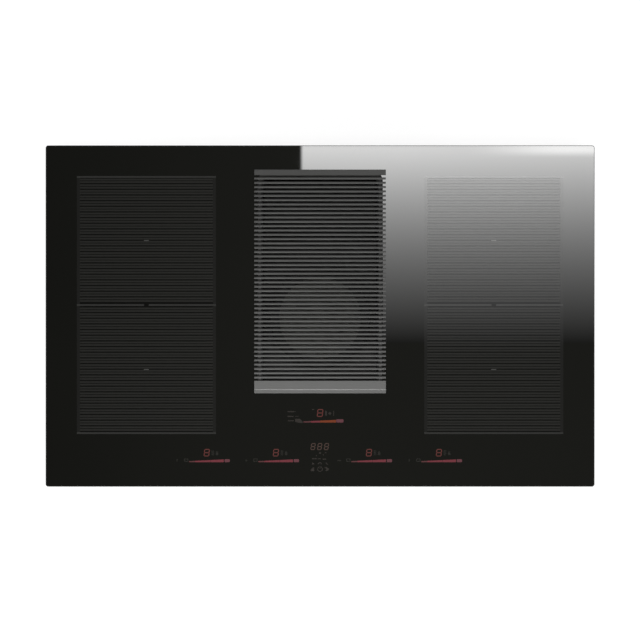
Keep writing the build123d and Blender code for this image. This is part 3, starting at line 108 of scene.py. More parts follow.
# Signs of each cooking slider: bars and an empty frame on its left, with y from the slider, and
# two upright bars and a body with a bow over it on the digit's right, with y from the digit
START_SIGNS = (
    ((-46.0, -44.8, 0.8, 4.8),),
    ((-46.4, -45.0, 1.0, 4.4), (-45.0, -43.4, 2.1, 3.3)),
    ((-48.2, -42.8, 1.6, 3.3),),
    ((-46.0, -44.8, 0.8, 4.8),),
)
EMPTY_FRAME = (-34.8, -28.4, 0.7, 5.5)
EMPTY_FRAME_STROKE = 1.2
UPRIGHT_BARS = ((6.9, 8.3, -4.0, 3.6), (9.3, 10.3, -4.0, 3.6))
BOWED_BODY = (13.2, 16.8, -3.6, 0.4)
BOW = {"x": 15.0, "y": 0.5, "radius": 1.3, "width": 0.8, "start": 0, "end": 180, "steps": 10}
SIGN_ROUNDING = 0.5

# Ventilation slider: its wedge, block, digit and signs
VENT_Y = -161.0
VENT_WEDGE = {"left": -25.2, "right": 24.0, "low": 1.7, "high": 4.0, "gaps": ((-14.2, -14.0), (-0.4, -0.2))}
VENT_BLOCK = (24.3, 35.4, 0.0, 4.9)
VENT_DIGIT_Y = -146.6
VENT_DIGIT_SIZE = (9.0, 11.8)
VENT_BARS = (
    (-49.0, -39.6, -145.4, -143.7),
    (-39.6, -36.6, -144.9, -144.2),
    (-49.2, -40.2, -152.6, -150.9),
    (-37.8, -32.6, -152.1, -151.4),
    (-48.8, -40.0, -159.0, -157.6),
    (-12.2, -9.0, -142.0, -140.8),
    (7.6, 10.2, -150.6, -143.4),
    (20.0, 21.0, -150.8, -143.4),
)
VENT_DIAMOND = [(14.8, -144.6), (17.4, -147.2), (14.8, -149.8), (12.2, -147.2)]
VENT_BLADE = [
    (-37.8, -155.4), (-30.4, -155.4), (-26.4, -159.4),
    (-26.4, -161.8), (-32.6, -161.4), (-37.8, -159.6),
]

# Timer: its three digits and the signs below them, with the ring of the main switch in front
TIMER_Y = -197.4
TIMER_XS = (-10.6, -0.6, 9.6)
TIMER_SIZE = (7.0, 10.6)
TIMER_SLANT = 0.16
TIMER_DOTS = ((-0.2, -207.2, 1.5), (-5.4, -211.2, 0.8), (5.0, -209.8, 0.8))
TIMER_BARS = (
    (6.8, 9.8, -207.3, -206.4),
    (-12.2, -4.6, -216.4, -215.0),
    (-2.6, 0.9, -216.4, -215.0),
    (3.8, 9.0, -217.2, -215.6),
)
KEY_LEFT = (-12.2, -9.2, -224.6, -221.9)
KEY_MIDDLE = {"x": -0.4, "y": -224.2, "radius": 2.5, "width": 1.3, "start": 0, "end": 180, "steps": 12}
KEY_RIGHT = [(7.6, -221.6), (9.6, -221.6), (12.6, -224.8), (10.8, -224.8)]
SWITCH_LEFT = [(-14.6, -233.2), (-11.0, -229.0), (-9.0, -229.0), (-9.0, -234.6), (-13.4, -234.6)]
SWITCH_RING = {"x": -0.1, "y": -231.4, "radius": 3.5, "width": 1.15, "start": 112, "end": 428, "steps": 32}
SWITCH_BAR = (-0.65, 0.45, -230.6, -226.6)
SWITCH_RIGHT = [(6.2, -228.4), (9.6, -228.4), (14.2, -231.6), (9.6, -234.8), (8.2, -233.4), (9.8, -231.6)]

# ---- Helpers ----------------------------------------------------------------------------

# The part of its range that most of a noise lies in
NOISE_LOW = 0.3
NOISE_HIGH = 0.7


class NodeTree:
    """Short ways to add and link the nodes of one tree."""

    def __init__(self, tree):
        self.tree = tree

    def feed(self, socket, value):
        """Links a node's output to an input, or gives the input a plain value."""
        if isinstance(value, bpy.types.NodeSocket):
            self.tree.links.new(value, socket)
        else:
            socket.default_value = value

    def node(self, kind, inputs=None, **settings):
        """Adds a node; its inputs are values or the outputs of other nodes."""
        made = self.tree.nodes.new("ShaderNode" + kind)
        for key, value in settings.items():
            setattr(made, key, value)
        for key, value in (inputs or {}).items():
            self.feed(made.inputs[key], value)
        return made

    def calculate(self, operation, first, second=0.0):
        """One arithmetic step."""
        return self.node("Math", {0: first, 1: second}, operation=operation).outputs["Value"]

    def remap(self, value, low, high, to_low=0.0, to_high=1.0, smooth=False):
        """Maps a value from one range to another, and stops at the range's ends."""
        inputs = {"Value": value, "From Min": low, "From Max": high, "To Min": to_low, "To Max": to_high}
        bend = "SMOOTHSTEP" if smooth else "LINEAR"
        return self.node("MapRange", inputs, interpolation_type=bend).outputs["Result"]


class Shader(NodeTree):
    """The procedural material of one finish."""

    def __init__(self, name, color, roughness, metallic=0.0, specular=0.5):
        self.name = name
        self.color = (*color, 1.0)
        self.material = bpy.data.materials.new(name)
        self.material.use_nodes = True
        self.material.diffuse_color = self.color
        super().__init__(self.material.node_tree)
        self.inputs = self.tree.nodes["Principled BSDF"].inputs
        self.inputs["Base Color"].default_value = self.color
        self.inputs["Roughness"].default_value = roughness
        self.inputs["Metallic"].default_value = metallic
        self.inputs["Specular IOR Level"].default_value = specular

    def place(self, scale=(1.0, 1.0, 1.0)):
        """The point on the piece, stretched by a scale."""
        coordinate = self.node("TexCoord").outputs["Object"]
        return self.node("Mapping", {"Vector": coordinate, "Scale": scale}).outputs["Vector"]

    def noise(self, size, detail, scale=(1.0, 1.0, 1.0)):
        """Noise whose features are about this many metres across, from 0 to 1."""
        inputs = {"Vector": self.place(scale), "Scale": 1 / size, "Detail": detail, "Roughness": 0.55}
        return self.node("TexNoise", inputs).outputs["Fac"]

    def cells(self, size, feature="F1", output="Distance"):
        """Voronoi cells of about this size in metres."""
        inputs = {"Vector": self.place(), "Scale": 1 / size}
        return self.node("TexVoronoi", inputs, feature=feature).outputs[output]

    def patches(self, size):
        """Cells of about this size in metres, each with a grey of its own."""
        return self.node("RGBToBW", {"Color": self.cells(size, output="Color")}).outputs["Val"]

    def rings(self, size, distortion):
        """Rings of this period in metres round the z axis."""
        inputs = {"Vector": self.place(), "Scale": math.pi / 10 / size, "Distortion": distortion}
        settings = {"wave_type": "RINGS", "wave_profile": "SIN", "rings_direction": "Z"}
        return self.node("TexWave", inputs, **settings).outputs["Fac"]

    def tint(self, value, low, high, other, share=(0.0, 1.0)):
        """Mixes the colour towards another one, by a share that follows a value from low to high."""
        color = self.inputs["Base Color"]
        base = color.links[0].from_socket if color.links else self.color
        mixed = self.node("Mix", {"Factor": self.remap(value, low, high, *share)}, data_type="RGBA")
        first, second = (socket for socket in mixed.inputs if socket.type == "RGBA")
        self.feed(first, base)
        self.feed(second, (*other, 1.0))
        self.feed(color, next(socket for socket in mixed.outputs if socket.type == "RGBA"))

    def rough(self, value, low, high):
        """Roughness from low to high, by a noise or another value from 0 to 1."""
        self.feed(self.inputs["Roughness"], self.remap(value, NOISE_LOW, NOISE_HIGH, low, high))

    def bump(self, value, depth):
        """Relief of this depth in metres."""
        relief = self.node("Bump", {"Height": value, "Distance": depth, "Strength": 1.0})
        self.feed(self.inputs["Normal"], relief.outputs["Normal"])


def shade(color, share):
    """A colour made darker or lighter."""
    return tuple(part * share for part in color)


def add_object(name, data):
    """Puts a mesh, a lamp or a camera into the scene."""
    made = bpy.data.objects.new(name, data)
    bpy.context.scene.collection.objects.link(made)
    return made


# ---- Materials of the record's slots ----------------------------------------------------


def ceramic_glass():
    """Polished black glass, a little uneven in tone and gloss."""
    made = Shader("ceramic_glass", (0.0042, 0.0043, 0.0035), roughness=0.018)
    made.tint(made.noise(0.25, detail=2.0), 0.35, 0.65, (0.0047, 0.0048, 0.0039))
    made.rough(made.noise(0.06, detail=4.0), 0.012, 0.024)
    return made


def grille_metal():
    """Metal with a dark satin paint of a fine grain."""
    made = Shader("grille_metal", (0.088, 0.088, 0.086), roughness=0.42, metallic=0.15, specular=0.45)
    made.tint(made.noise(0.05, detail=3.0), 0.3, 0.7, (0.084, 0.084, 0.082))
    made.rough(made.noise(0.0015, detail=2.0), 0.38, 0.48)
    made.bump(made.noise(0.00045, detail=2.0), depth=0.000006)
    return made


def moulded(name, color, lighter, roughness):
    """Moulded plastic with a fine eroded texture and faint flow shading."""
    made = Shader(name, color, roughness, specular=0.45)
    made.tint(made.noise(0.09, detail=3.0), 0.3, 0.75, lighter)
    made.rough(made.noise(0.0012, detail=2.0), roughness - 0.06, roughness + 0.08)
    made.bump(made.noise(0.0007, detail=3.0), depth=0.00003)
    return made


def galvanised():
    """Zinc-coated sheet with spangles and pale clouds."""
    made = Shader("galvanised_sheet", (0.50, 0.51, 0.52), roughness=0.42, metallic=0.85)
    spangle = made.patches(0.0075)
    made.tint(spangle, 0.15, 0.85, (0.425, 0.435, 0.45))
    made.tint(made.noise(0.12, detail=4.0), 0.55, 0.75, (0.60, 0.60, 0.59), share=(0.0, 0.5))
    made.rough(spangle, 0.34, 0.50)
    made.bump(made.noise(0.002, detail=2.0), depth=0.00001)
    return made


def brushed(name, color, darker, roughness, stretch=(1.0, 12.0, 12.0), metallic=1.0):
    """Drawn or rolled metal with fine lines along one direction."""
    made = Shader(name, color, roughness, metallic)
    lines = made.noise(0.004, detail=4.0, scale=stretch)
    made.tint(lines, 0.35, 0.7, darker)
    made.rough(lines, roughness - 0.07, roughness + 0.09)
    made.bump(lines, depth=0.00001)
    return made


def foam():
    """Dull black foam, with painted shade in its pores."""
    made = Shader("foam", (0.030, 0.030, 0.032), roughness=0.95, specular=0.2)
    pore_relief_and_shade = made.cells(0.0012)
    # Painted shade: the colour darkens in the pores, which the relief also sinks
    made.tint(pore_relief_and_shade, 0.0, 0.6, (0.012, 0.012, 0.013), share=(1.0, 0.0))
    made.bump(pore_relief_and_shade, depth=0.0002)
    return made


def rubber(name, color, roughness):
    """Rubber or silicone with paler clouds and a fine grain."""
    made = Shader(name, color, roughness, specular=0.35)
    made.tint(made.noise(0.02, detail=3.0), 0.4, 0.75, shade(color, share=1.5))
    made.rough(made.noise(0.003, detail=2.0), roughness - 0.08, roughness + 0.1)
    made.bump(made.noise(0.0008, detail=2.0), depth=0.00003)
    return made


def litz():
    """Lacquered copper strands, with painted shade in the grooves between them."""
    made = Shader("litz", (0.45, 0.19, 0.09), roughness=0.38, metallic=0.55)
    strand_relief_and_shade = made.rings(0.0021, distortion=0.4)
    # Painted shade: the colour darkens towards the grooves between the strands, where the relief lies low
    made.tint(strand_relief_and_shade, 0.0, 0.35, (0.12, 0.045, 0.02), share=(1.0, 0.0))
    made.bump(strand_relief_and_shade, depth=0.0004)
    return made


def board():
    """Green circuit board with paler tracks."""
    made = Shader("board", (0.012, 0.085, 0.040), roughness=0.35)
    tracks = made.cells(0.006, "DISTANCE_TO_EDGE")
    made.tint(tracks, 0.08, 0.03, (0.02, 0.14, 0.06), share=(0.0, 0.8))
    made.rough(made.noise(0.01, detail=3.0), 0.28, 0.42)
    made.bump(tracks, depth=0.00004)
    return made


def mica():
    """Pale pressed mica with flakes of two tones."""
    made = Shader("mica", (0.55, 0.47, 0.34), roughness=0.5, specular=0.4)
    flakes = made.patches(0.004)
    made.tint(flakes, 0.2, 0.8, (0.68, 0.60, 0.45))
    made.rough(flakes, 0.35, 0.6)
    made.bump(made.noise(0.003, detail=3.0), depth=0.00003)
    return made


def ferrite():
    """Dark sintered ferrite with a paler grain."""
    made = Shader("ferrite", (0.045, 0.045, 0.048), roughness=0.6, metallic=0.3)
    made.tint(made.noise(0.0015, detail=4.0), 0.4, 0.7, (0.085, 0.085, 0.09))
    made.rough(made.noise(0.002, detail=2.0), 0.5, 0.7)
    made.bump(made.noise(0.0006, detail=2.0), depth=0.00003)
    return made


def display():
    """Smooth dark red window of a display."""
    made = Shader("display", (0.035, 0.006, 0.007), roughness=0.15)
    made.tint(made.noise(0.01, detail=2.0), 0.4, 0.7, (0.02, 0.004, 0.005))
    made.rough(made.noise(0.004, detail=2.0), 0.1, 0.2)
    return made


def filter_mesh():
    """Grey wire with darker clouds."""
    made = Shader("filter_mesh", (0.30, 0.30, 0.29), roughness=0.4, metallic=0.8)
    made.tint(made.noise(0.012, detail=3.0), 0.35, 0.7, (0.22, 0.22, 0.215))
    made.rough(made.noise(0.004, detail=2.0), 0.32, 0.5)
    made.bump(made.noise(0.0007, detail=2.0), depth=0.00002)
    return made


FINISHES = [
    ceramic_glass(),
    grille_metal(),
    moulded("well_plastic", (0.074, 0.074, 0.073), (0.088, 0.088, 0.087), roughness=0.45),
    moulded("housing_plastic", (0.028, 0.029, 0.031), (0.040, 0.041, 0.043), roughness=0.48),
    galvanised(),
    brushed("aluminium", (0.62, 0.62, 0.63), (0.50, 0.50, 0.51), roughness=0.34),
    brushed("filter_metal", (0.080, 0.080, 0.080), (0.062, 0.062, 0.062), roughness=0.4, metallic=0.3),
    filter_mesh(),
    foam(),
    rubber("silicone", (0.03, 0.03, 0.03), roughness=0.4),
    rubber("rubber", (0.018, 0.018, 0.018), roughness=0.7),
    litz(),
    ferrite(),
    mica(),
    board(),
    moulded("component", (0.02, 0.025, 0.04), (0.03, 0.036, 0.055), roughness=0.35),
    moulded("white_plastic", (0.66, 0.66, 0.63), (0.72, 0.72, 0.70), roughness=0.42),
    display(),
    moulded("light_guide", (0.62, 0.60, 0.58), (0.70, 0.68, 0.66), roughness=0.25),
    brushed("steel", (0.50, 0.50, 0.51), (0.38, 0.38, 0.39), roughness=0.3),
    brushed(
        "spring_steel", (0.40, 0.40, 0.42), (0.30, 0.30, 0.32), roughness=0.33, stretch=(12.0, 12.0, 1.0)
    ),
]
SLOTS = {finish.name: finish for finish in FINISHES}

# Every CAD node takes the finish of its slot
for part in frame["record"]["subparts"]:
    piece = NODES[part["node"]]
    piece.data.materials.clear()
    piece.data.materials.append(SLOTS[part["material_slot"]].material)

# ---- Outlines, in millimetres -----------------------------------------------------------


def round_points(x, y, radius, turns):
    """Points at one distance from a middle, at these angles in radians."""
    return [(x + radius * math.cos(turn), y + radius * math.sin(turn)) for turn in turns]


def bar(left, right, low, high):
    """The outline of a rectangle."""
    return [(left, low), (right, low), (right, high), (left, high)]


def bars(rows):
    """The outlines of several rectangles."""
    return [bar(*edges) for edges in rows]


def arc(x, y, radius, width, start, end, steps):
    """The outline of a bent stroke round a point, between two angles in degrees."""
    turns = [math.radians(start + (end - start) * step / steps) for step in range(steps + 1)]
    outer = round_points(x, y, radius + width / 2, turns)
    inner = round_points(x, y, radius - width / 2, turns)
    return outer + inner[::-1]


def dot(x, y, radius, steps=16):
    """The outline of a disc."""
    return round_points(x, y, radius, [2 * math.pi * step / steps for step in range(steps)])


def pill(left, right, low, high, radius, steps=4):
    """The outline of a rectangle with rounded corners."""
    outline = []
    corners = (
        (right - radius, high - radius, 0),
        (left + radius, high - radius, 90),
        (left + radius, low + radius, 180),
        (right - radius, low + radius, 270),
    )
    for x, y, start in corners:
        turns = [math.radians(start + 90 * step / steps) for step in range(steps + 1)]
        outline += round_points(x, y, radius, turns)
    return outline


def hollow(left, right, low, high, width):
    """The outlines of the four sides of an empty rectangle."""
    return [
        bar(left, right, high - width, high),
        bar(left, right, low, low + width),
        bar(left, left + width, low + width, high - width),
        bar(right - width, right, low + width, high - width),
    ]


def moved(outlines, x, y):
    """The same outlines at another place."""
    return [[(px + x, py + y) for px, py in outline] for outline in outlines]


def wedge_stretches(left, right, low, high, gaps):
    """The stretches of a wedge from left to right, parted by gaps; low and high are its two heights."""

    def height(x):
        return low + (high - low) * (x - left) / (right - left)

    starts = [left] + [end for _start, end in gaps]
    ends = [start for start, _end in gaps] + [right]
    return [[(a, 0.0), (b, 0.0), (b, height(b)), (a, height(a))] for a, b in zip(starts, ends)]


def digit(x, y, size, slant=DIGIT_SLANT):
    """All seven segments of a display, leaning to the right."""
    tip = DIGIT_STROKE / 2
    half_x, half_y = size[0] / 2 - tip, size[1] / 2 - tip
    outlines = []
    for level in (-half_y, 0.0, half_y):
        left, right = -half_x + DIGIT_GAP, half_x - DIGIT_GAP
        outlines.append([(left, level), (left + tip, level - tip), (right - tip, level - tip),
                         (right, level), (right - tip, level + tip), (left + tip, level + tip)])
    for place in (-half_x, half_x):
        for low, high in ((-half_y + DIGIT_GAP, -DIGIT_GAP), (DIGIT_GAP, half_y - DIGIT_GAP)):
            outlines.append([(place, low), (place + tip, low + tip), (place + tip, high - tip),
                             (place, high), (place - tip, high - tip), (place - tip, low + tip)])
    return [[(x + px + slant * py, y + py) for px, py in outline] for outline in outlines]


# ---- Pieces made of outlines ------------------------------------------------------------


def add_piece(name, layers, shader, body="chassis"):
    """One piece made of flat closed prisms.

    Each layer is a list of outlines in millimetres on the glass, and the two heights that its
    prisms lie between, in millimetres above the glass.
    """
    points, faces = [], []
    for outlines, low, high in layers:
        for outline in outlines:
            start, count = len(points), len(outline)
            for level in (low, high):
                points += [(x * MM, y * MM, GLASS_TOP + level * MM) for x, y in outline]
            faces.append(list(range(start + count - 1, start - 1, -1)))
            faces.append(list(range(start + count, start + 2 * count)))
            for i in range(count):
                j = (i + 1) % count
                faces.append([start + i, start + j, start + count + j, start + count + i])
    mesh = bpy.data.meshes.new(name)
    mesh.from_pydata(points, [], faces)
    mesh.materials.append(shader.material)
    made = add_object(name, mesh)
    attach(made, body)
    return made


def add_print(name, outlines, shader, high=INK_HIGH):
    """Ink on the glass, which starts just inside it."""
    add_piece(name, [(outlines, INK_LOW, high)], shader)


def ink(name, color, roughness=0.12, specular=0.35, glow=0.0):
    """Ceramic ink fired on the glass, slightly uneven; a lit one gives part of its colour as light."""
    dull = shade(color, share=1.0 - glow)
    made = Shader(name, dull, roughness, specular=specular)
    if glow:
        made.inputs["Emission Color"].default_value = (*shade(color, share=glow), 1.0)
        made.inputs["Emission Strength"].default_value = 1.0
    made.tint(made.noise(0.0025, detail=3.0), 0.35, 0.7, shade(dull, share=0.86))
    made.rough(made.noise(0.001, detail=2.0), roughness - 0.02, roughness + 0.04)
    return made


# ---- Cooking fields ---------------------------------------------------------------------

INK_GROUND = ink("ink_ground", (0.0024, 0.0024, 0.0021), roughness=0.05, specular=0.39)
INK_BAND = ink("ink_band", (0.0208, 0.0208, 0.0191), roughness=0.09, specular=0.45)
INK_END = ink("ink_end", (0.0125, 0.0125, 0.0118), roughness=0.06, specular=0.47)
INK_BORDER = ink("ink_border", (0.036, 0.036, 0.0345), roughness=0.06, specular=0.50)
INK_DASH = ink("ink_dash", (0.085, 0.085, 0.082), roughness=0.06, specular=0.50)


def field_bands(left, right):
    """The hatched bands of one cooking field, in pairs from the rear of each half to its front."""
    outlines = []
    for low, high in ((FIELD_FRONT, FIELD_MIDDLE), (FIELD_MIDDLE, FIELD_REAR)):
        top = high - BORDER_WIDTH - BAND_INSET
        while top - BAND_WIDTH > low + BORDER_WIDTH / 2:
            for shift in (0, BAND_STEP):
                if top - shift - BAND_WIDTH > low + BORDER_WIDTH:
                    edges = (left + FIELD_END, right - FIELD_END, top - shift - BAND_WIDTH, top - shift)
                    outlines.append(bar(*edges))
            top -= BAND_PERIOD
    return outlines


def field_ends(left, right):
    """The upright bands that close a field on its left and right."""
    low, high = FIELD_FRONT + BORDER_WIDTH, FIELD_REAR - BORDER_WIDTH
    return [bar(left, left + FIELD_END, low, high), bar(right - FIELD_END, right, low, high)]


def field_borders(left, right):
    """The rear, middle and front lines of one field; the middle one has a gap."""
    middle = (left + right) / 2
    half = BORDER_WIDTH / 2
    return [
        bar(left, right, FIELD_REAR - BORDER_WIDTH, FIELD_REAR),
        bar(left, middle - FIELD_GAP / 2, FIELD_MIDDLE - half, FIELD_MIDDLE + half),
        bar(middle + FIELD_GAP / 2, right, FIELD_MIDDLE - half, FIELD_MIDDLE + half),
        bar(left, right, FIELD_FRONT, FIELD_FRONT + BORDER_WIDTH),
    ]


def field_dashes(left, right):
    """The small mark in the middle of each cooking place."""
    middle = (left + right) / 2
    half_x, half_y = DASH_LENGTH / 2, DASH_WIDTH / 2
    return [bar(middle - half_x, middle + half_x, y - half_y, y + half_y) for y in DASH_YS]


def add_field(hand, left, right):
    """The five prints of one cooking field, from the lowest ink to the highest."""
    add_print(f"field_ground_{hand}", [bar(left, right, FIELD_FRONT, FIELD_REAR)], INK_GROUND, GROUND_HIGH)
    add_print(f"field_bands_{hand}", field_bands(left, right), INK_BAND)
    add_print(f"field_ends_{hand}", field_ends(left, right), INK_END)
    add_print(f"field_borders_{hand}", field_borders(left, right), INK_BORDER, BORDER_HIGH)
    add_print(f"field_dashes_{hand}", field_dashes(left, right), INK_DASH, DASH_HIGH)


add_field("left", -FIELD_OUTER, -FIELD_INNER)
add_field("right", FIELD_INNER, FIELD_OUTER)

# ---- Sliders, digits and signs ----------------------------------------------------------

INK_MARK = ink("ink_mark", (0.037, 0.032, 0.029))
INK_FAINT = ink("ink_faint", (0.023, 0.022, 0.019))
LIT_PALE = ink("lit_pale", (0.105, 0.040, 0.042), glow=0.4)
LIT_ROSE = ink("lit_rose", (0.175, 0.036, 0.047), glow=0.5)
LIT_ORANGE = ink("lit_orange", (0.190, 0.043, 0.017), glow=0.5)
LIT_BLOCK = ink("lit_block", (0.130, 0.046, 0.056), glow=0.5)
LIT_DIGIT = ink("lit_digit", (0.125, 0.036, 0.032), glow=0.6)
LIT_TIMER = ink("lit_timer", (0.072, 0.046, 0.038), glow=0.4)


def add_scales():
    """The scales and blocks of all five sliders; only the ventilation slider ends in orange."""
    pale, rose, blocks = [], [], []
    for x in SLIDER_XS:
        start, middle, end = moved(wedge_stretches(**WEDGE), x, SLIDER_Y)
        pale.append(start)
        rose += [middle, end]
        blocks += moved([pill(*BLOCK, BLOCK_ROUNDING)], x, SLIDER_Y)
    start, middle, end = moved(wedge_stretches(**VENT_WEDGE), 0, VENT_Y)
    blocks += moved([pill(*VENT_BLOCK, BLOCK_ROUNDING)], 0, VENT_Y)
    add_print("print_scale_pale", [*pale, start], LIT_PALE)
    add_print("print_scale_rose", [*rose, middle], LIT_ROSE)
    add_print("print_scale_orange", [end], LIT_ORANGE)
    add_print("print_scale_blocks", blocks, LIT_BLOCK)


def add_digits():
    """One digit above each slider, and the three of the timer."""
    digits = [digit(x + DIGIT_SHIFT, DIGIT_Y, DIGIT_SIZE) for x in SLIDER_XS]
    digits.append(digit(0.0, VENT_DIGIT_Y, VENT_DIGIT_SIZE))
    add_print("print_digits", sum(digits, []), LIT_DIGIT)
    timer = [digit(x, TIMER_Y, TIMER_SIZE, TIMER_SLANT) for x in TIMER_XS]
    add_print("print_timer", sum(timer, []), LIT_TIMER)


def slider_marks():
    """The grey signs of the cooking sliders."""
    outlines = []
    for x, start in zip(SLIDER_XS, START_SIGNS):
        outlines += moved(bars(start) + hollow(*EMPTY_FRAME, EMPTY_FRAME_STROKE), x, SLIDER_Y)
        bowed = [pill(*BOWED_BODY, SIGN_ROUNDING), arc(**BOW)]
        outlines += moved(bars(UPRIGHT_BARS) + bowed, x, DIGIT_Y)
    return outlines


def vent_marks():
    """The grey signs of the ventilation slider."""
    return [*bars(VENT_BARS), VENT_DIAMOND, VENT_BLADE]


def timer_marks():
    """The grey signs below the timer's digits, with the ring of the main switch."""
    return [
        *[dot(*place) for place in TIMER_DOTS],
        *bars(TIMER_BARS),
        pill(*KEY_LEFT, SIGN_ROUNDING),
        arc(**KEY_MIDDLE),
        KEY_RIGHT,
        SWITCH_LEFT,
        arc(**SWITCH_RING),
        bar(*SWITCH_BAR),
        SWITCH_RIGHT,
    ]


add_scales()
add_digits()
add_print("print_slider_marks", slider_marks(), INK_FAINT)
add_print("print_vent_marks", vent_marks(), INK_MARK)
add_print("print_timer_marks", timer_marks(), INK_MARK)

# ---- Woven guard of the round filter, in millimetres ------------------------------------

GUARD_LOW, GUARD_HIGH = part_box("filter_guard")
GUARD_X = (GUARD_LOW.x + GUARD_HIGH.x) / 2 / MM
GUARD_Y = (GUARD_LOW.y + GUARD_HIGH.y) / 2 / MM
GUARD_RADIUS = (GUARD_HIGH.x - GUARD_LOW.x) / 2 / MM
GUARD_RIM = 12.5
GUARD_STEPS = 72
WEAVE_RADIUS = 62.5
WEAVE_PITCH = 3.3
WEAVE_TURN = 45
WEAVE_OVERLAP = 0.05
WIRE_WIDTH = 1.15


def wires(turn):
    """Parallel straight wires across the guard's opening, at an angle in degrees."""
    along_x, along_y = math.cos(math.radians(turn)), math.sin(math.radians(turn))
    half = WIRE_WIDTH / 2
    count = int(WEAVE_RADIUS / WEAVE_PITCH)
    outlines = []
    for step in range(-count, count + 1):
        off = step * WEAVE_PITCH
        reach = (WEAVE_RADIUS**2 - off**2) ** 0.5
        outlines.append([
            (GUARD_X + u * along_x - v * along_y, GUARD_Y + u * along_y + v * along_x)
            for u, v in bar(-reach, reach, off - half, off + half)
        ])
    return outlines


def filter_weave():
    """Two crossed layers of wire in a flat rim, in the place of the disc with hexagonal holes."""
    low, high = ((corner.z - GLASS_TOP) / MM for corner in (GUARD_LOW, GUARD_HIGH))
    middle = (low + high) / 2
    rim = arc(GUARD_X, GUARD_Y, GUARD_RADIUS - GUARD_RIM / 2, GUARD_RIM, 0, 360, GUARD_STEPS)
    layers = [
        (wires(WEAVE_TURN), middle - WEAVE_OVERLAP, high),
        (wires(-WEAVE_TURN), low, middle + WEAVE_OVERLAP),
        ([rim], low, high),
    ]
    weave = add_piece("filter_weave", layers, SLOTS["filter_mesh"], "filter")
    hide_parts("filter_guard")


filter_weave()

# ---- Camera, in metres ------------------------------------------------------------------

PHOTO_PIXELS = 640
PIXEL_SIZE = 1.512 * MM
VIEW_WIDTH = PHOTO_PIXELS * PIXEL_SIZE
CAMERA_HEIGHT = 6.0
CAMERA_X = -0.00014
CAMERA_Y = -0.0060
CAMERA_REACH = 60.0

# Blender takes a camera's sensor and lens in millimetres
SENSOR_WIDTH = 36.0


def make_camera():
    """Camera straight above the glass, which sees the photograph's width at the height of the glass."""
    data = bpy.data.cameras.new("camera")
    data.type = "PERSP"
    data.sensor_width = SENSOR_WIDTH
    data.lens = SENSOR_WIDTH * CAMERA_HEIGHT / VIEW_WIDTH
    data.clip_end = CAMERA_REACH
    camera = add_object("camera", data)
    camera.location = (CAMERA_X, CAMERA_Y, GLASS_TOP + CAMERA_HEIGHT)
    bpy.context.scene.camera = camera


# ---- Studio, in metres ------------------------------------------------------------------

FLOOR_LEVEL = -0.0003
FLOOR_REACH = 30
FLOOR_TONE = 0.9
FLOOR_GLOW = 0.75
SUN_ENERGY = 2.6
SUN_ANGLE = math.radians(16.0)
SUN_HEIGHT = 3.0

# The ceiling's glow rises from left to right, and a white part is added far out
CEILING_HEIGHT = 1.0
CEILING_REACH = 6
CEILING_COLOR = (1.0, 1.0, 0.90)
CEILING_RIGHT = 0.172
CEILING_RISE = {"low": -0.62, "high": -0.02, "to_low": 0.088, "to_high": CEILING_RIGHT}
CEILING_WHITE = {"low": 1.7, "high": 4.5, "to_high": 0.85}

# Places on the glass where the window's mirror image begins, is full, dims a little to the right
# and has its bright rear corner
WINDOW_LEFT = -0.0312
WINDOW_LEFT_FULL = -0.0245
WINDOW_FRONT = -0.0395
WINDOW_REAR_FULL = 0.251
WINDOW_DIM = (0.12, 0.41)
CORNER_X = (0.21, 0.38)
CORNER_Y = (0.2395, 0.2525)

# The window's sheet: how far it hangs below the ceiling, and the places past the glass that its
# right and rear edges fade out between
WINDOW_DROP = 0.01
WINDOW_RIGHT_EDGE = (0.485, 0.50)
WINDOW_REAR_EDGE = (0.295, 0.34)

# The window's glow, which grows from front to rear by a straight and by a steep share
WINDOW_COLOR = (1.0, 1.0, 0.995)
WINDOW_STRAIGHT = 0.225
WINDOW_STEEP = 0.41
WINDOW_POWER = 3.0
WINDOW_DIM_TO = 0.92
CORNER_GLOW = 0.27
WINDOW_STRENGTH = 25.0

WORLD_LEVEL = 0.40

# Lamps: the size is the lamp's width and depth, and the energy is in watts
KEY_LAMP = {"place": (0.0, -0.60, 1.40), "target": (0.0, 0.0, 0.2), "size": (1.2, 0.5), "energy": 9.0}
FILL_LAMP = {"place": (-1.7, -0.4, 1.5), "target": (0.0, 0.0, 0.15), "size": (1.0, 1.0), "energy": 4.2}
GRILLE_LAMP = {"place": (0.0, -0.50, 0.54), "target": (0.0, -0.1, 0.2), "size": (0.6, 0.16), "energy": 3.7}
WELL_LAMP = {"place": (0.0, 0.05, 2.5), "target": (0.0, 0.05, 0.2), "size": (0.5, 0.5), "energy": 1.4}


class Glow(NodeTree):
    """The light-giving material of a sheet in the studio."""

    def __init__(self, name, color=(1.0, 1.0, 1.0)):
        self.material = bpy.data.materials.new(name)
        self.material.use_nodes = True
        super().__init__(self.material.node_tree)
        self.tree.nodes.remove(self.tree.nodes["Principled BSDF"])
        self.emission = self.node("Emission", {"Color": (*color, 1.0), "Strength": 1.0})
        self.show(self.emission)

    def show(self, node):
        """Makes a node's shader the sheet's surface."""
        self.feed(self.tree.nodes["Material Output"].inputs["Surface"], node.outputs[0])

    def coordinates(self):
        """The x and y of the point on the sheet."""
        point = self.node("TexCoord").outputs["Object"]
        split = self.node("SeparateXYZ", {0: point}).outputs
        return split["X"], split["Y"]

    def away(self):
        """The distance of the point on the sheet from the middle."""
        x, y = self.coordinates()
        squares = self.calculate("ADD", self.calculate("POWER", x, 2.0), self.calculate("POWER", y, 2.0))
        return self.calculate("SQRT", squares)


def light_only(source, pieces):
    """Lets a lamp or a glowing sheet light these pieces alone."""
    receivers = bpy.data.collections.new(source.name + "_receivers")
    for piece in pieces:
        receivers.objects.link(piece)
    source.light_linking.receiver_collection = receivers


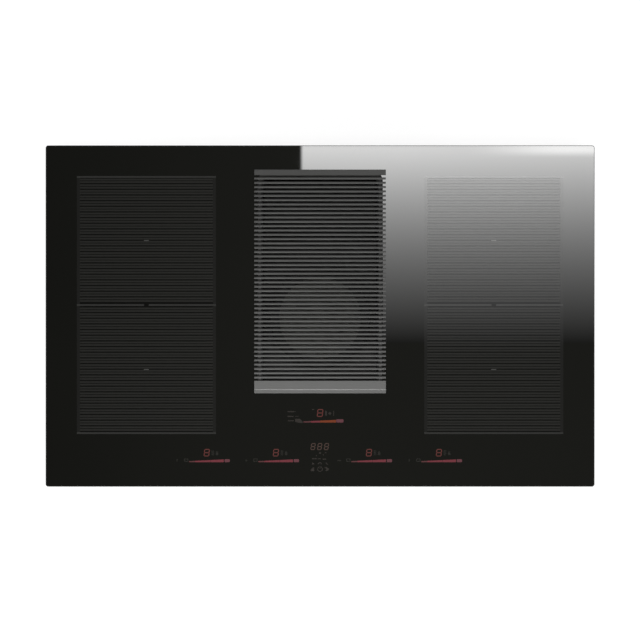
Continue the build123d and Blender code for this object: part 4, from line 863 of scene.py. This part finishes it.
def stage_sheet(name, left, right, front, rear, height):
    """A flat sheet of the studio."""
    mesh = bpy.data.meshes.new(name)
    mesh.from_pydata([(x, y, height) for x, y in bar(left, right, front, rear)], [], [[0, 1, 2, 3]])
    made = add_object(name, mesh)
    return made


def reflected_sheet(name, left, right, front, rear, height):
    """A flat sheet of the studio that is seen in reflections alone."""
    made = stage_sheet(name, left, right, front, rear, height)
    made.visible_camera = False
    made.visible_diffuse = False
    made.visible_transmission = False
    made.visible_shadow = False
    made.visible_volume_scatter = False
    return made


def make_floor():
    """Pale floor under a sun of its own, which glows to the camera and in reflections.

    It is clear from below.
    """
    floor = stage_sheet("floor", -FLOOR_REACH, FLOOR_REACH, -FLOOR_REACH, FLOOR_REACH, FLOOR_LEVEL)
    glow = Glow("floor")
    path = glow.node("LightPath").outputs
    seen = glow.calculate("MAXIMUM", path["Is Camera Ray"], path["Is Glossy Ray"])
    share = glow.calculate("MULTIPLY", seen, FLOOR_GLOW)
    diffuse = glow.node("BsdfDiffuse", {"Color": (FLOOR_TONE, FLOOR_TONE, FLOOR_TONE, 1.0)})
    pale = glow.node("MixShader", {0: share, 1: diffuse.outputs[0], 2: glow.emission.outputs[0]})
    clear = glow.node("BsdfTransparent")
    below = glow.node("NewGeometry").outputs["Backfacing"]
    glow.show(glow.node("MixShader", {0: below, 1: pale.outputs[0], 2: clear.outputs[0]}))
    floor.data.materials.append(glow.material)
    sun = bpy.data.lights.new("floor_light", "SUN")
    sun.energy = SUN_ENERGY
    sun.angle = SUN_ANGLE
    lamp = add_object("floor_light", sun)
    lamp.location = (0.0, 0.0, SUN_HEIGHT)
    light_only(lamp, [floor])


def make_ceiling():
    """Dark ceiling that the polished glass mirrors, a little paler to the right and white far out."""
    reach = CEILING_REACH
    height = GLASS_TOP + CEILING_HEIGHT
    sheet = reflected_sheet("ceiling", -reach, reach, -reach, reach, height)
    glow = Glow("ceiling", CEILING_COLOR)
    x, _y = glow.coordinates()
    glow.feed(glow.emission.inputs["Strength"], glow.remap(x, **CEILING_RISE, smooth=True))
    white = glow.node("Emission", {"Strength": glow.remap(glow.away(), **CEILING_WHITE, smooth=True)})
    glow.show(glow.node("AddShader", {0: glow.emission.outputs[0], 1: white.outputs[0]}))
    sheet.data.materials.append(glow.material)


def make_window():
    """Soft window whose mirror image lies over the right rear of the glass and fades to the front."""
    height = GLASS_TOP + CEILING_HEIGHT - WINDOW_DROP

    # A place on the glass mirrors a place on the sheet that is this much farther out
    grow = (CAMERA_HEIGHT + CEILING_HEIGHT - WINDOW_DROP) / CAMERA_HEIGHT
    left, front = WINDOW_LEFT * grow, WINDOW_FRONT * grow
    sheet = reflected_sheet("window", left, WINDOW_RIGHT_EDGE[1], front, WINDOW_REAR_EDGE[1], height)
    glow = Glow("window", WINDOW_COLOR)
    x, y = glow.coordinates()

    def between(value, places, to_high=1.0):
        """A smooth rise from zero between two places on the glass."""
        return glow.remap(value, places[0] * grow, places[1] * grow, 0.0, to_high, smooth=True)

    rise = glow.remap(y, front, WINDOW_REAR_FULL * grow)
    straight = glow.calculate("MULTIPLY", rise, WINDOW_STRAIGHT)
    steep = glow.calculate("MULTIPLY", glow.calculate("POWER", rise, WINDOW_POWER), WINDOW_STEEP)
    dim = glow.remap(x, WINDOW_DIM[0] * grow, WINDOW_DIM[1] * grow, 1.0, WINDOW_DIM_TO)
    level = glow.calculate("MULTIPLY", glow.calculate("ADD", straight, steep), dim)
    corner = glow.calculate("MULTIPLY", between(x, CORNER_X, CORNER_GLOW), between(y, CORNER_Y))
    level = glow.calculate("ADD", level, corner)
    edge = between(x, (WINDOW_LEFT, WINDOW_LEFT_FULL))
    for value, places in ((x, WINDOW_RIGHT_EDGE), (y, WINDOW_REAR_EDGE)):
        edge = glow.calculate("MULTIPLY", edge, glow.remap(value, *places, 1.0, 0.0, smooth=True))
    level = glow.calculate("MULTIPLY", glow.calculate("MULTIPLY", level, edge), WINDOW_STRENGTH)

    # The sheet hides the ceiling's right part, so its glow starts from the level of that part
    glow.feed(glow.emission.inputs["Strength"], glow.calculate("ADD", level, CEILING_RIGHT))
    sheet.data.materials.append(glow.material)
    prints = [piece for piece in bpy.data.objects if piece.name.startswith(("field_", "print_"))]
    light_only(sheet, [NODES["glass_panel"], *prints])


def make_world():
    """White world for the camera, reflections and clear pieces, and a plain level elsewhere."""
    world = bpy.data.worlds.new("world")
    bpy.context.scene.world = world
    world.use_nodes = True
    nodes = NodeTree(world.node_tree)
    background = nodes.tree.nodes["Background"].inputs
    background["Color"].default_value = (1.0, 1.0, 1.0, 1.0)
    path = nodes.node("LightPath").outputs
    seen = path["Is Camera Ray"]
    for kind in ("Is Glossy Ray", "Is Transmission Ray"):
        seen = nodes.calculate("MAXIMUM", seen, path[kind])
    nodes.feed(background["Strength"], nodes.remap(seen, 0.0, 1.0, WORLD_LEVEL, 1.0))


def softbox(name, place, target, size, energy):
    """An area lamp that points at a target."""
    data = bpy.data.lights.new(name, "AREA")
    data.shape = "RECTANGLE"
    data.size, data.size_y = size
    data.energy = energy
    lamp = add_object(name, data)
    lamp.location = place
    lamp.rotation_euler = (Vector(target) - Vector(place)).to_track_quat("-Z", "Y").to_euler()
    lamp.visible_camera = False
    return lamp


def make_lamps():
    """A key and a fill lamp for all, and two weak ones for the grille and what lies below it."""
    softbox("key", **KEY_LAMP)
    softbox("fill", **FILL_LAMP)
    light_only(softbox("accent", **GRILLE_LAMP), [NODES["grille"]])
    lit = [NODES[name] for name in ("grille", "intake_well", "filter_tray", "filter_ring")]
    light_only(softbox("overhead", **WELL_LAMP), lit)


make_camera()
make_floor()
make_ceiling()
make_window()
make_world()
make_lamps()

bpy.context.scene.view_settings.view_transform = "Standard"
